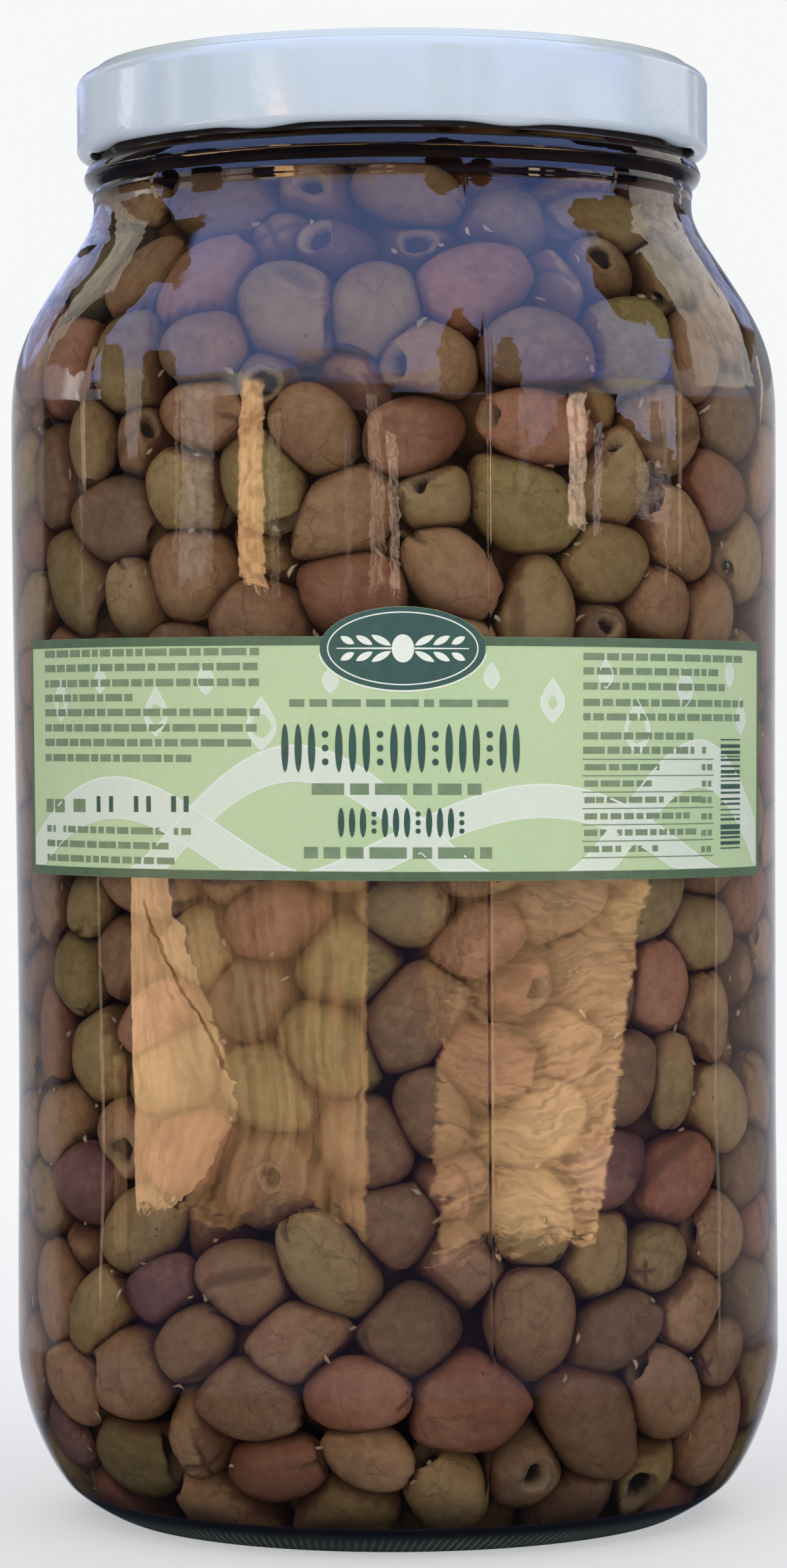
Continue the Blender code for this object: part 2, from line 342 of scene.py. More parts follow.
def make_jar():
    columns = np.linspace(0, 360, 192, endpoint=False)
    extra = [SEAM + back + off for back in (0, 180) for off in (-0.9, -0.5, -0.28, -0.12, 0.0, 0.12, 0.28, 0.5, 0.9)]
    near = [min(abs((c - e + 180) % 360 - 180) for e in extra) for c in columns]
    columns = np.sort(np.concatenate([columns[np.array(near) > 0.35], extra]))
    out_line = outside()
    down = [(MOUTH_R + 0.6, RIM_Z), (MOUTH_R + 0.15, RIM_Z - 0.15), (MOUTH_R, RIM_Z - 0.6), (MOUTH_R, FILL_Z)]
    down += inside()[::-1]
    split = len(out_line)

    def shape(k, r, z, degrees):
        a = np.radians(degrees)
        rr, zz = np.full(len(a), float(r)), np.full(len(a), float(z))
        if k < split:
            if 5.0 < z < 236.0:
                free = min(1.0, (z - 5.0) / 20.0) * min(1.0, (236.0 - z) / 15.0)
                rr = rr + free * (
                    0.05 * np.sin(3 * a + z / 31.0 + 0.7)
                    + 0.035 * np.sin(7 * a - z / 19.0 + 2.1)
                    + 0.02 * np.sin(13 * a + z / 11.0 + 4.0)
                )
                ridge = np.zeros(len(a))
                for back in (0.0, 180.0):
                    off = (degrees - SEAM - back + 180) % 360 - 180
                    ridge += np.exp(-((off / 0.22) ** 2))
                rr = rr + 0.13 * ridge * free
            if 235.8 < z < 237.6:
                rr = rr + (0.22 if abs(z - 236.6) < 0.2 else 0.0)
        elif 12.0 < z < 236.0:
            free = min(1.0, (z - 12.0) / 20.0) * min(1.0, (236.0 - z) / 15.0)
            rr = rr - free * (
                0.07 + 0.06 * np.sin(2 * a + z / 27.0 + 1.3) + 0.05 * np.sin(5 * a - z / 22.0 + 0.4) + 0.04 * np.sin(9 * a + z / 9.0)
            )
        return rr, zz

    outline = out_line + down
    verts, quads, tris, band = revolve(outline, columns, shape)
    oil_bands = np.array([k >= split + 3 for k in range(len(outline))])
    slots = np.concatenate([oil_bands[band].astype(int), np.array([0] * len(columns) + [1] * len(columns))])
    outer = glass_material("glass_outer", 1.5, (0.93, 0.975, 0.945), True)
    inner = glass_material("glass_to_oil", 1.0204, (0.97, 0.985, 0.975), False)
    jar = mesh_object("jar_glass", verts, [quads, tris], [outer, inner], slots=slots, sharp=40)
    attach(jar, "root")
    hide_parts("jar")
    return jar


def make_foot_painted_shade():
    """An opaque thin shell just inside the thick glass of the foot, coloured with painted shade: it stands for how dark
    and green the glass looks from the side, greenish with paler ribs low down and near black higher up.
    """
    line = [q for q in outside() if 49.5 < q[0] < 62.5 and q[1] < 5.0]
    line = [q for q in line if q[0] > BEARING_R - 1.5 or q[1] < 0.3]
    near, deep = moved_in(line, 0.35), moved_in(line, 0.95)
    loop = near + deep[::-1] + near[:1]
    verts, quads, _, _ = revolve(loop, np.linspace(0, 360, 256, endpoint=False))
    seam = 256 * (len(loop) - 1)
    verts, quads = verts[:seam], np.where(quads >= seam, quads - seam, quads)
    n = Nodes("foot_painted_shade")
    pos = n.coords()
    part = n.node("ShaderNodeSeparateXYZ", {0: pos})
    turn = n.math("ARCTAN2", part.outputs[0], part.outputs[1])
    slant = n.math("ADD", n.math("MULTIPLY", turn, 250.0), n.math("MULTIPLY", part.outputs[2], 1500.0))
    slant = n.math("ADD", slant, n.math("MULTIPLY", n.noise(pos, 60.0, 2.0), 5.0))
    # painted shade: greenish at the bottom with paler ribs, darkening upward to near black
    high = n.math("MULTIPLY", part.outputs[2], 100.0)
    rib = n.math("MULTIPLY", n.ramp(n.math("ADD", n.math("MULTIPLY", n.math("SINE", slant, 0.0), 0.5), 0.5), [(0.45, 0.0), (0.85, 1.0)]), n.ramp(high, [(0.0, 0.5), (0.08, 1.0), (0.22, 0.6), (0.36, 0.0)]))
    patch = n.ramp(n.noise(pos, 22.0, 3.0), [(0.35, 0.25), (0.65, 1.0)])
    tone = n.ramp(high, [(0.0, (0.095, 0.120, 0.095)), (0.18, (0.060, 0.082, 0.064)), (0.32, (0.022, 0.030, 0.032)), (0.42, (0.006, 0.006, 0.012))])
    tone = n.mix(n.math("MULTIPLY", rib, patch), tone, (0.36, 0.42, 0.33))
    n.link(tone, "Base Color")
    n.link(n.bump(n.noise(pos, 500.0, 2.0), 0.0003, 0.3), "Normal")
    n.set(Roughness=0.35)
    foot = mesh_object("foot_painted_shade", verts, [quads], n.material, sharp=50)
    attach(foot, "root")
    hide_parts("jar")
    return foot


# ---------------------------------------------------------------- oil and the dark middle
def make_oil():
    outline = inside(-0.22)
    outline[0] = (0, FLOOR_Z - 0.22)
    outline += [(MOUTH_R + 0.2, FILL_Z - 0.4), (MOUTH_R - 0.2, FILL_Z), (30, FILL_Z), (0, FILL_Z)]
    verts, quads, tris, _ = revolve(outline, np.linspace(0, 360, 128, endpoint=False))
    n = Nodes("oil")
    n.tree.nodes.remove(n.shader)
    clear = n.node("ShaderNodeBsdfTransparent", {"Color": (1.0, 1.0, 1.0, 1.0)})
    volume = n.node("ShaderNodeVolumeAbsorption")
    volume.inputs["Color"].default_value = OIL_COLOUR
    volume.inputs["Density"].default_value = OIL_DENSITY
    n.feed(n.out.inputs["Surface"], clear)
    n.feed(n.out.inputs["Volume"], volume)
    oil = mesh_object("oil", verts, [quads, tris], n.material, sharp=50)
    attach(oil, "root")
    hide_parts("contents")
    return oil


OIL_COLOUR = (0.82, 0.60, 0.30, 1.0)
OIL_DENSITY = 48.0


def make_core():
    """What is seen between the second layer of olives: dark shapes of more olives, and at the top a wide near-black
    disc, a sheet for painted shadow under the lid.
    """
    points = [(0, 25.0), (14, 25.0), (28, 26.5), (35, 30.5), (39, 37.0)]
    points += [(41.0, float(z)) for z in np.linspace(43, 190, 60)]
    points += [(40.5, 196.0), (38.5, 204.0), (35.0, 212.0), (31.5, 219.0), (29.0, 226.0), (28.5, 231.0), (30.0, 236.0)]
    # the top flares out under the lid into a disc that carries painted shadow
    points += [(36.0, 239.5), (44.0, 241.6), (49.0, 242.6), (50.1, 243.6), (50.1, 251.5), (49.0, 252.4), (0, 252.6)]

    def shape(k, r, z, degrees):
        a = np.radians(degrees)
        lump = np.abs(np.sin(7 * a + 2.2 * np.sin(z / 17.0)) * np.sin(z / 5.2 + 1.4 * np.sin(3 * a)))
        lump = 2.6 * np.sqrt(lump) + 0.8 * np.sin(5 * a + z / 7.0)
        free = 1.0 if z < 232 and r > 20 else 0.0
        return np.full(len(a), r) + lump * free, np.full(len(a), z)

    verts, quads, tris, _ = revolve(points, np.linspace(0, 360, 144, endpoint=False), shape)
    n = Nodes("core_olives_and_painted_shadow")
    pos = n.coords()
    blotch = n.noise(pos, 75.0, 3.0)
    tone = n.ramp(blotch, [(0.35, (0.085, 0.060, 0.055)), (0.55, (0.170, 0.105, 0.070)), (0.7, (0.140, 0.075, 0.062))])
    high = n.node("ShaderNodeSeparateXYZ", {0: pos}).outputs[2]
    # near black from about 233 mm up: painted shadow under the lid
    tone = n.mix(n.ramp(n.math("MULTIPLY", high, 4.0), [(0.930, 0.0), (0.945, 0.85)]), tone, (0.004, 0.004, 0.022))
    n.link(tone, "Base Color")
    n.link(n.bump(n.noise(pos, 300.0, 3.0), 0.0006, 0.4), "Normal")
    n.set(Roughness=0.6)
    core = mesh_object("core", verts, [quads, tris], n.material)
    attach(core, "root")
    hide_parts("contents")
    return core


# ---------------------------------------------------------------- olives
WALL_LINE = np.array(inside())


def wall_distance(rho, z):
    """How far points lie inside the inner wall, and the inward direction there, in the (r, z) plane."""
    p = np.column_stack([rho, z])
    line = np.vstack([WALL_LINE, [(MOUTH_R, 262.0)]])
    a, b = line[:-1], line[1:]
    d = b - a
    t = np.clip(((p[:, None, :] - a[None]) * d[None]).sum(2) / (d * d).sum(1)[None], 0, 1)
    near = a[None] + t[..., None] * d[None]
    gap = p[:, None, :] - near
    dist = np.hypot(gap[..., 0], gap[..., 1])
    k = dist.argmin(1)
    rows = np.arange(len(p))
    n = np.column_stack([-d[k, 1], d[k, 0]]) / np.hypot(d[k, 0], d[k, 1])[:, None]
    side = (gap[rows, k] * n).sum(1)
    return np.where(side >= 0, 1.0, -1.0) * dist[rows, k], n


def pairs_within(points, reach):
    """All pairs closer than reach, found through a grid of cells."""
    cell = np.floor(points / reach).astype(int)
    cell -= cell.min(0)
    size = cell.max(0) + 3
    key = ((cell[:, 0] + 1) * size[1] + cell[:, 1] + 1) * size[2] + cell[:, 2] + 1
    order = np.argsort(key, kind="stable")
    sorted_key = key[order]
    found = []
    for dx in (-1, 0, 1):
        for dy in (-1, 0, 1):
            for dz in (-1, 0, 1):
                other = key + (dx * size[1] + dy) * size[2] + dz
                lo = np.searchsorted(sorted_key, other, "left")
                hi = np.searchsorted(sorted_key, other, "right")
                for step in range(int((hi - lo).max(initial=0))):
                    has = lo + step < hi
                    i = np.nonzero(has)[0]
                    j = order[lo[has] + step]
                    keep = i < j
                    found.append(np.column_stack([i[keep], j[keep]]))
    found = np.concatenate(found)
    gap = points[found[:, 0]] - points[found[:, 1]]
    return found[(gap * gap).sum(1) < reach * reach]


OLIVES = 925
OLIVE_TOP = 237.0  # they reach up to just under the bead
SHELL = 22.5  # how deep under the glass the middles of the second layer lie


def pack_olives(rng):
    size = np.clip(rng.normal(7.28, 0.85, OLIVES), 5.4, 9.4)
    # start anywhere in the shell
    start = []
    while len(start) < OLIVES:
        rho, z = 66 * math.sqrt(rng.random()), 6 + 232 * rng.random()
        depth = wall_distance(np.array([rho]), np.array([z]))[0][0]
        if 4.0 < depth < SHELL + 1:
            a = rng.random() * 2 * math.pi
            start.append((rho * math.cos(a), rho * math.sin(a), z))
    p = np.array(start)
    axis = rng.normal(size=(OLIVES, 3))
    end_on = rng.random(OLIVES) < 0.17
    lean = rng.normal(0, 0.22, OLIVES)
    spin = rng.random(OLIVES) * math.pi * 2
    level = rng.random(OLIVES) < 0.35  # lies more level than upright
    spin = np.where(level, rng.normal(0, 0.45, OLIVES) + math.pi * (rng.random(OLIVES) < 0.5), spin)
    egg = np.clip(1.04 + rng.normal(0, 0.11, OLIVES), 0.82, 1.32)
    semi = np.column_stack([size * 1.23 * egg, size * 0.93 / np.sqrt(egg), size * 0.88 / np.sqrt(egg)])

    def wall_frame(points):
        rho = np.hypot(points[:, 0], points[:, 1])
        depth, n2 = wall_distance(rho, points[:, 2])
        out_r = points[:, :2] / np.maximum(rho, 1e-6)[:, None]
        inward = np.column_stack([n2[:, :1] * out_r, n2[:, 1]])
        return depth, inward, rho

    def orient(points):
        depth, inward, rho = wall_frame(points)
        side = np.column_stack([-points[:, 1], points[:, 0], np.zeros(len(points))])
        side /= np.maximum(np.hypot(side[:, 0], side[:, 1]), 1e-6)[:, None]
        up = np.cross(inward, side)
        u = np.cos(spin)[:, None] * side + np.sin(spin)[:, None] * up + lean[:, None] * inward
        flip = np.where(rng_end > 0.5, 1.0, -1.0)[:, None]
        u = np.where(end_on[:, None], -inward * flip + 0.35 * axis * 0.8, u)
        return u / np.linalg.norm(u, axis=1)[:, None]

    rng_end = rng.random(OLIVES)
    steps, u = 260, None
    pairs = None
    for step in range(steps):
        if step % 8 == 0:
            pairs = pairs_within(p, 22.5)
            if step >= 80 and step % 24 == 0 or u is None:
                u = orient(p)
        i, j = pairs[:, 0], pairs[:, 1]
        gap = p[j] - p[i]
        dist = np.sqrt((gap * gap).sum(1)) + 1e-9
        n = gap / dist[:, None]
        if step < 80:
            reach_i, reach_j = size[i], size[j]
        else:
            ci, cj = (n * u[i]).sum(1) ** 2, (n * u[j]).sum(1) ** 2
            round_i, round_j = (semi[i, 1] + semi[i, 2]) / 2, (semi[j, 1] + semi[j, 2]) / 2
            reach_i = 1 / np.sqrt(ci / semi[i, 0] ** 2 + (1 - ci) / round_i**2)
            reach_j = 1 / np.sqrt(cj / semi[j, 0] ** 2 + (1 - cj) / round_j**2)
        over = np.maximum(0, reach_i + reach_j - dist)
        push = (0.32 * over)[:, None] * n
        move = np.zeros_like(p)
        np.add.at(move, i, -push)
        np.add.at(move, j, push)
        length = np.linalg.norm(move, axis=1)
        move *= np.minimum(1, 2.5 / np.maximum(length, 1e-9))[:, None]
        p = p + move
        depth, inward, rho = wall_frame(p)
        if step < 80:
            need = size * 0.94
        else:
            cw = (inward * u).sum(1) ** 2
            need = 0.95 / np.sqrt(cw / semi[:, 0] ** 2 + (1 - cw) / ((semi[:, 1] + semi[:, 2]) / 2) ** 2)
        need = need + 0.35
        p = p + np.maximum(0, need - depth)[:, None] * inward * 0.9
        p = p - (np.maximum(0, depth - SHELL) * 0.5)[:, None] * inward
        p[:, 2] = np.minimum(p[:, 2], OLIVE_TOP - size * 0.86)
    depth, inward, rho = wall_frame(p)
    return p, u, semi, size, depth, inward, end_on


def olive_template(rings, longitudes):
    phi = np.radians(np.array(rings, float))
    lam = np.arange(longitudes) * 2 * math.pi / longitudes
    d = [np.array([[1.0, 0, 0]])]
    for f in phi:
        d.append(np.column_stack([np.full(longitudes, math.cos(f)), math.sin(f) * np.cos(lam), math.sin(f) * np.sin(lam)]))
    d.append(np.array([[-1.0, 0, 0]]))
    d = np.concatenate(d)
    angle = np.concatenate([[0.0], np.repeat(phi, longitudes), [math.pi]])
    turn = np.concatenate([[0.0], np.tile(lam, len(phi)), [0.0]])
    here, after = np.arange(longitudes), (np.arange(longitudes) + 1) % longitudes
    quads = []
    for k in range(len(phi) - 1):
        s, t = 1 + k * longitudes, 1 + (k + 1) * longitudes
        quads.append(np.column_stack([s + here, t + here, t + after, s + after]))
    last = 1 + (len(phi) - 1) * longitudes
    tris = [np.column_stack([np.zeros(longitudes, int), 1 + here, 1 + after])]
    tris.append(np.column_stack([last + here, np.full(longitudes, len(d) - 1), last + after]))
    return d, angle, turn, np.concatenate(quads), np.concatenate(tris)


FINE = olive_template([3.5, 8, 12, 15, 17.5, 20, 22.5, 25, 28, 32, 38, 48, 60, 74, 88, 102, 116, 130, 142, 152, 161, 169, 175], 24)
COARSE = olive_template([18, 42, 66, 90, 114, 138, 162], 12)


PRESSED_IN = 0.5  # how far each olive runs past the line where it meets a neighbour


def smooth_step(x):
    x = np.clip(x, 0, 1)
    return x * x * (3 - 2 * x)


def olive_shape(rng, template, frame3, semi, planes, heights, fine, hole, glass=None):
    """Local points of one olive: an ellipsoid, soft-clipped by the planes that it shares with its neighbours."""
    d, angle, turn, _, _ = template
    x, y, z = d.T
    rho = 1 / np.sqrt((x / semi[0]) ** 2 + (y / semi[1]) ** 2 + (z / semi[2]) ** 2)
    phase = rng.random(6) * 2 * math.pi
    taper = rng.normal(0, 0.05)
    rho = rho * (1 + taper * x)
    rho = rho * (
        1
        + 0.018 * np.sin(2 * turn + phase[0]) * np.sin(angle)
        + 0.014 * np.sin(3 * turn + 2 * angle + phase[1]) * np.sin(angle)
        + 0.012 * np.sin(5 * angle + phase[2]) * np.sin(turn + phase[3]) * np.sin(angle)
    )
    power = 11.0
    free = rho
    total = rho**-power
    edge = np.zeros(len(d))
    if len(planes):
        local = planes @ frame3.T  # rows: plane normals in the olive's own axes
        facing = d @ local.T
        with np.errstate(divide="ignore"):
            inverse = np.where(facing > 0.02, facing / np.maximum(heights + PRESSED_IN, 0.8)[None], 0.0)
            touch = np.where(facing > 0.02, facing / np.maximum(heights, 0.8)[None], 0.0).max(1) * free
        total = total + (inverse**power).sum(1)
        edge = smooth_step((touch - 0.90) / 0.11)  # 1 where it meets a neighbour
    if glass is not None:
        facing = d @ (frame3 @ glass[0])
        total = total + np.where(facing > 0.02, facing / max(glass[1], 0.8), 0.0) ** power
    rho = total ** (-1 / power)
    cut = np.zeros(len(d))
    if fine:
        # the hole that the stone left by
        if hole:
            wide = rng.uniform(21, 29) if rng.random() < 0.3 else rng.uniform(13.5, 19)
            rim = math.radians(wide) * (1 + 0.12 * np.sin(2 * turn + phase[4]) + 0.07 * np.sin(3 * turn + phase[5]) + 0.03 * np.sin(7 * turn + phase[1]))
            down = smooth_step((rim - angle) / math.radians(5.0))
            lip = np.exp(-(((angle - rim - math.radians(4.0)) / math.radians(5.0)) ** 2))
            rho = rho * (1 + 0.035 * lip) * (1 - 0.56 * down)
            cut = np.where(down > 0, -down, cut)
        else:
            dimple = np.exp(-((angle / math.radians(12)) ** 2))
            rho = rho * (1 - 0.05 * dimple)
        # the small star at the other end
        arms = int(rng.integers(2, 5))
        arm = np.abs((turn * arms / (2 * math.pi) + 0.5) % 1.0 - 0.5) * 2 * math.pi / arms
        away = math.pi - angle
        reach = math.radians(rng.uniform(16, 34))
        groove = np.exp(-((arm * np.sin(away) * semi[1] / 0.34) ** 2)) * smooth_step((reach - away) / math.radians(9))
        rho = rho * (1 - 0.075 * groove)
        cut = np.where(cut < 0, cut, np.maximum(cut, 0.75 * groove))
        # a split or a fold along some of them
        if rng.random() < 0.24:
            line = rng.integers(0, 24) * 2 * math.pi / 24
            off = np.abs((turn - line + math.pi) % (2 * math.pi) - math.pi) * np.sin(angle) * semi[1]
            span = smooth_step((angle - math.radians(rng.uniform(10, 50))) / 0.3) * smooth_step(
                (math.radians(rng.uniform(110, 165)) - angle) / 0.3
            )
            fold = np.exp(-((off / 0.75) ** 2)) * span
            rho = rho * (1 - rng.uniform(0.035, 0.09) * fold)
            cut = np.where(cut < 0, cut, np.maximum(cut, 0.5 * np.exp(-((off / 0.35) ** 2)) * span))
    return d * rho[:, None], cut, edge


KINDS = {
    # name: (share, [palette in linear colour])
    "olives_tan": (0.29, [(0.325, 0.176, 0.100), (0.386, 0.215, 0.124), (0.269, 0.145, 0.082), (0.342, 0.176, 0.114)]),
    "olives_khaki": (0.18, [(0.308, 0.194, 0.090), (0.353, 0.226, 0.114), (0.252, 0.160, 0.073), (0.370, 0.223, 0.124)]),
    "olives_green": (0.12, [(0.241, 0.168, 0.069), (0.286, 0.200, 0.087), (0.202, 0.137, 0.059), (0.314, 0.200, 0.102)]),
    "olives_brown": (0.20, [(0.213, 0.116, 0.066), (0.185, 0.103, 0.065), (0.252, 0.128, 0.074), (0.207, 0.121, 0.082)]),
    "olives_rose": (0.13, [(0.308, 0.124, 0.080), (0.358, 0.160, 0.107), (0.252, 0.090, 0.061), (0.325, 0.143, 0.094)]),
    "olives_mauve": (0.08, [(0.174, 0.074, 0.082), (0.224, 0.103, 0.107), (0.129, 0.050, 0.061), (0.252, 0.126, 0.110)]),
}


def olive_material(name, palette):
    n = Nodes(name)
    seed = n.node("ShaderNodeAttribute", attribute_name="seed").outputs["Fac"]
    local = n.node("ShaderNodeAttribute", attribute_name="local").outputs["Vector"]
    cut = n.node("ShaderNodeAttribute", attribute_name="cut").outputs["Fac"]
    edge = n.node("ShaderNodeAttribute", attribute_name="edge").outputs["Fac"]
    # each olive gets its own place in the noise, so that no two are patterned alike
    jump = n.node("ShaderNodeCombineXYZ", {"X": n.math("MULTIPLY", seed, 131.0), "Y": n.math("MULTIPLY", seed, 57.0), "Z": n.math("MULTIPLY", seed, 211.0)})
    place = n.node("ShaderNodeVectorMath", {0: local, 1: jump}, operation="ADD").outputs[0]
    own = n.ramp(seed, [(0.0, palette[0]), (0.33, palette[1]), (0.66, palette[2]), (1.0, palette[3])])
    shift = n.math("FRACT", n.math("MULTIPLY", seed, 7.31))
    other = n.ramp(shift, [(0.0, palette[2]), (0.35, palette[0]), (0.7, palette[3]), (1.0, palette[1])])
    split = n.node("ShaderNodeSeparateXYZ", {0: local})
    # from one end to the other, and patchy
    along = n.math("ADD", n.math("MULTIPLY", split.outputs[0], 0.055), n.math("MULTIPLY", n.noise(place, 0.16, 2.0), 1.15))
    colour = n.mix(n.ramp(along, [(0.38, 0.0), (0.72, 1.0)]), own, other)
    # mottled skin
    patch = n.noise(place, 0.42, 4.0, 0.6, 0.4)
    colour = n.mix(n.ramp(patch, [(0.34, 0.55), (0.56, 0.0)]), colour, (0.66, 0.60, 0.56), "MULTIPLY")
    colour = n.mix(n.ramp(patch, [(0.52, 0.0), (0.76, 0.30)]), colour, (0.36, 0.235, 0.145))
    # a blush that spreads from some places
    blush = n.noise(place, 0.11, 3.0, 0.55)
    colour = n.mix(n.ramp(blush, [(0.56, 0.0), (0.70, 0.42)]), colour, (0.235, 0.095, 0.070))
    # veins and fine pale and dark specks
    vein = n.noise(place, 0.9, 5.0, 0.7, 0.9)
    colour = n.mix(n.ramp(vein, [(0.475, 0.0), (0.50, 0.22), (0.525, 0.0)]), colour, (0.10, 0.06, 0.04))
    # fine creases in the skin, on some of them and only in places, darkened along their lines as painted shade in the
    # creases
    bent = n.node("ShaderNodeVectorMath", {0: place, 1: n.node("ShaderNodeCombineXYZ", {"X": n.math("MULTIPLY", n.noise(place, 0.5, 2.0), 3.0), "Y": n.math("MULTIPLY", n.noise(place, 0.37, 2.0), 3.0)})}, operation="ADD").outputs[0]
    cells = n.node("ShaderNodeTexVoronoi", {"Vector": bent}, feature="DISTANCE_TO_EDGE")
    cells.inputs["Scale"].default_value = 0.16
    here = n.ramp(n.math("ADD", n.noise(place, 0.13, 1.0), n.math("MULTIPLY", n.math("FRACT", n.math("MULTIPLY", seed, 91.3)), 0.16)), [(0.60, 0.0), (0.69, 1.0)])
    crease = n.math("MULTIPLY", n.ramp(cells.outputs["Distance"], [(0.0, 1.0), (0.022, 0.35), (0.05, 0.0)]), here)
    colour = n.mix(n.math("MULTIPLY", crease, 0.42), colour, (0.095, 0.045, 0.028))
    dots = n.node("ShaderNodeTexVoronoi", {"Vector": place}, feature="F1")
    dots.inputs["Scale"].default_value = 0.22
    dot = n.math("MULTIPLY", n.ramp(dots.outputs["Distance"], [(0.05, 1.0), (0.09, 0.0)]), n.ramp(n.noise(place, 0.3, 1.0), [(0.52, 0.0), (0.58, 0.8)]))
    colour = n.mix(dot, colour, (0.075, 0.035, 0.024))
    specks = n.noise(place, 4.2, 2.0, 0.7)
    colour = n.mix(n.ramp(specks, [(0.60, 0.0), (0.70, 0.26)]), colour, (0.42, 0.30, 0.20))
    colour = n.mix(n.ramp(specks, [(0.30, 0.35), (0.39, 0.0)]), colour, (0.06, 0.035, 0.025))
    # brighter or darker as a whole
    level = n.math("ADD", n.math("MULTIPLY", n.math("FRACT", n.math("MULTIPLY", seed, 23.7)), 0.30), 0.80)
    colour = n.mix(1.0, colour, n.node("ShaderNodeCombineColor", {0: level, 1: level, 2: level}), "MULTIPLY")
    # darker and reddish where a neighbour presses on it: painted shade between the olives, partly the rose tint of
    # their edges
    touch = n.math("ADD", edge, n.math("MULTIPLY", n.math("SUBTRACT", n.noise(place, 0.7, 3.0), 0.5), 0.7))
    colour = n.mix(n.ramp(touch, [(0.40, 0.0), (1.0, 0.72)]), colour, (0.125, 0.050, 0.032))
    # darker in the grooves of the star and of the folds, as painted shade in the creases; pale flesh round the hole;
    # and near black deep in the hole, as painted shade in the hollow
    colour = n.mix(n.ramp(cut, [(0.05, 0.0), (0.22, 0.45), (0.6, 0.72), (1.0, 0.8)]), colour, (0.095, 0.050, 0.034))
    hollow = n.math("MULTIPLY", cut, -1.0)
    colour = n.mix(n.ramp(hollow, [(0.03, 0.0), (0.16, 0.8), (0.50, 0.8)]), colour, (0.40, 0.275, 0.19))
    inner = n.math("ADD", hollow, n.math("MULTIPLY", n.math("SUBTRACT", n.noise(place, 1.4, 3.0, 0.6, 0.8), 0.5), 0.5))
    colour = n.mix(n.ramp(inner, [(0.42, 0.0), (0.72, 0.92)]), colour, (0.036, 0.026, 0.040))
    # painted shade by height: much darker at the very bottom, a little darker up to about 70 mm, and darker again in
    # the shoulder above about 200 mm
    foot = n.node("ShaderNodeSeparateXYZ", {0: n.coords()}).outputs[2]
    colour = n.mix(n.ramp(n.math("MULTIPLY", foot, 40.0), [(0.20, 0.72), (0.50, 0.0)]), colour, (0.30, 0.27, 0.30), "MULTIPLY")
    colour = n.mix(n.ramp(n.math("MULTIPLY", foot, 4.0), [(0.16, 1.0), (0.28, 0.0)]), colour, (0.92, 0.91, 0.93), "MULTIPLY")
    colour = n.mix(n.ramp(n.math("MULTIPLY", foot, 4.0), [(0.80, 0.0), (0.87, 1.0)]), colour, (0.78, 0.785, 0.72), "MULTIPLY")
    n.link(colour, "Base Color")
    dents = n.math("ADD", n.noise(place, 0.8, 3.0, 0.6), n.math("MULTIPLY", n.noise(place, 4.0, 2.0), 0.25))
    folds = n.math("SUBTRACT", n.math("MULTIPLY", n.ramp(vein, [(0.47, 1.0), (0.50, 0.0), (0.53, 1.0)]), 0.12), n.math("MULTIPLY", crease, 0.3))
    n.link(n.bump(n.math("ADD", dents, folds), 0.0011, 0.4), "Normal")
    n.link(n.ramp(patch, [(0.3, 0.42), (0.7, 0.6)]), "Roughness")
    n.set(IOR=1.4)
    n.set(**{"Specular_IOR_Level": 0.12})
    return n.material


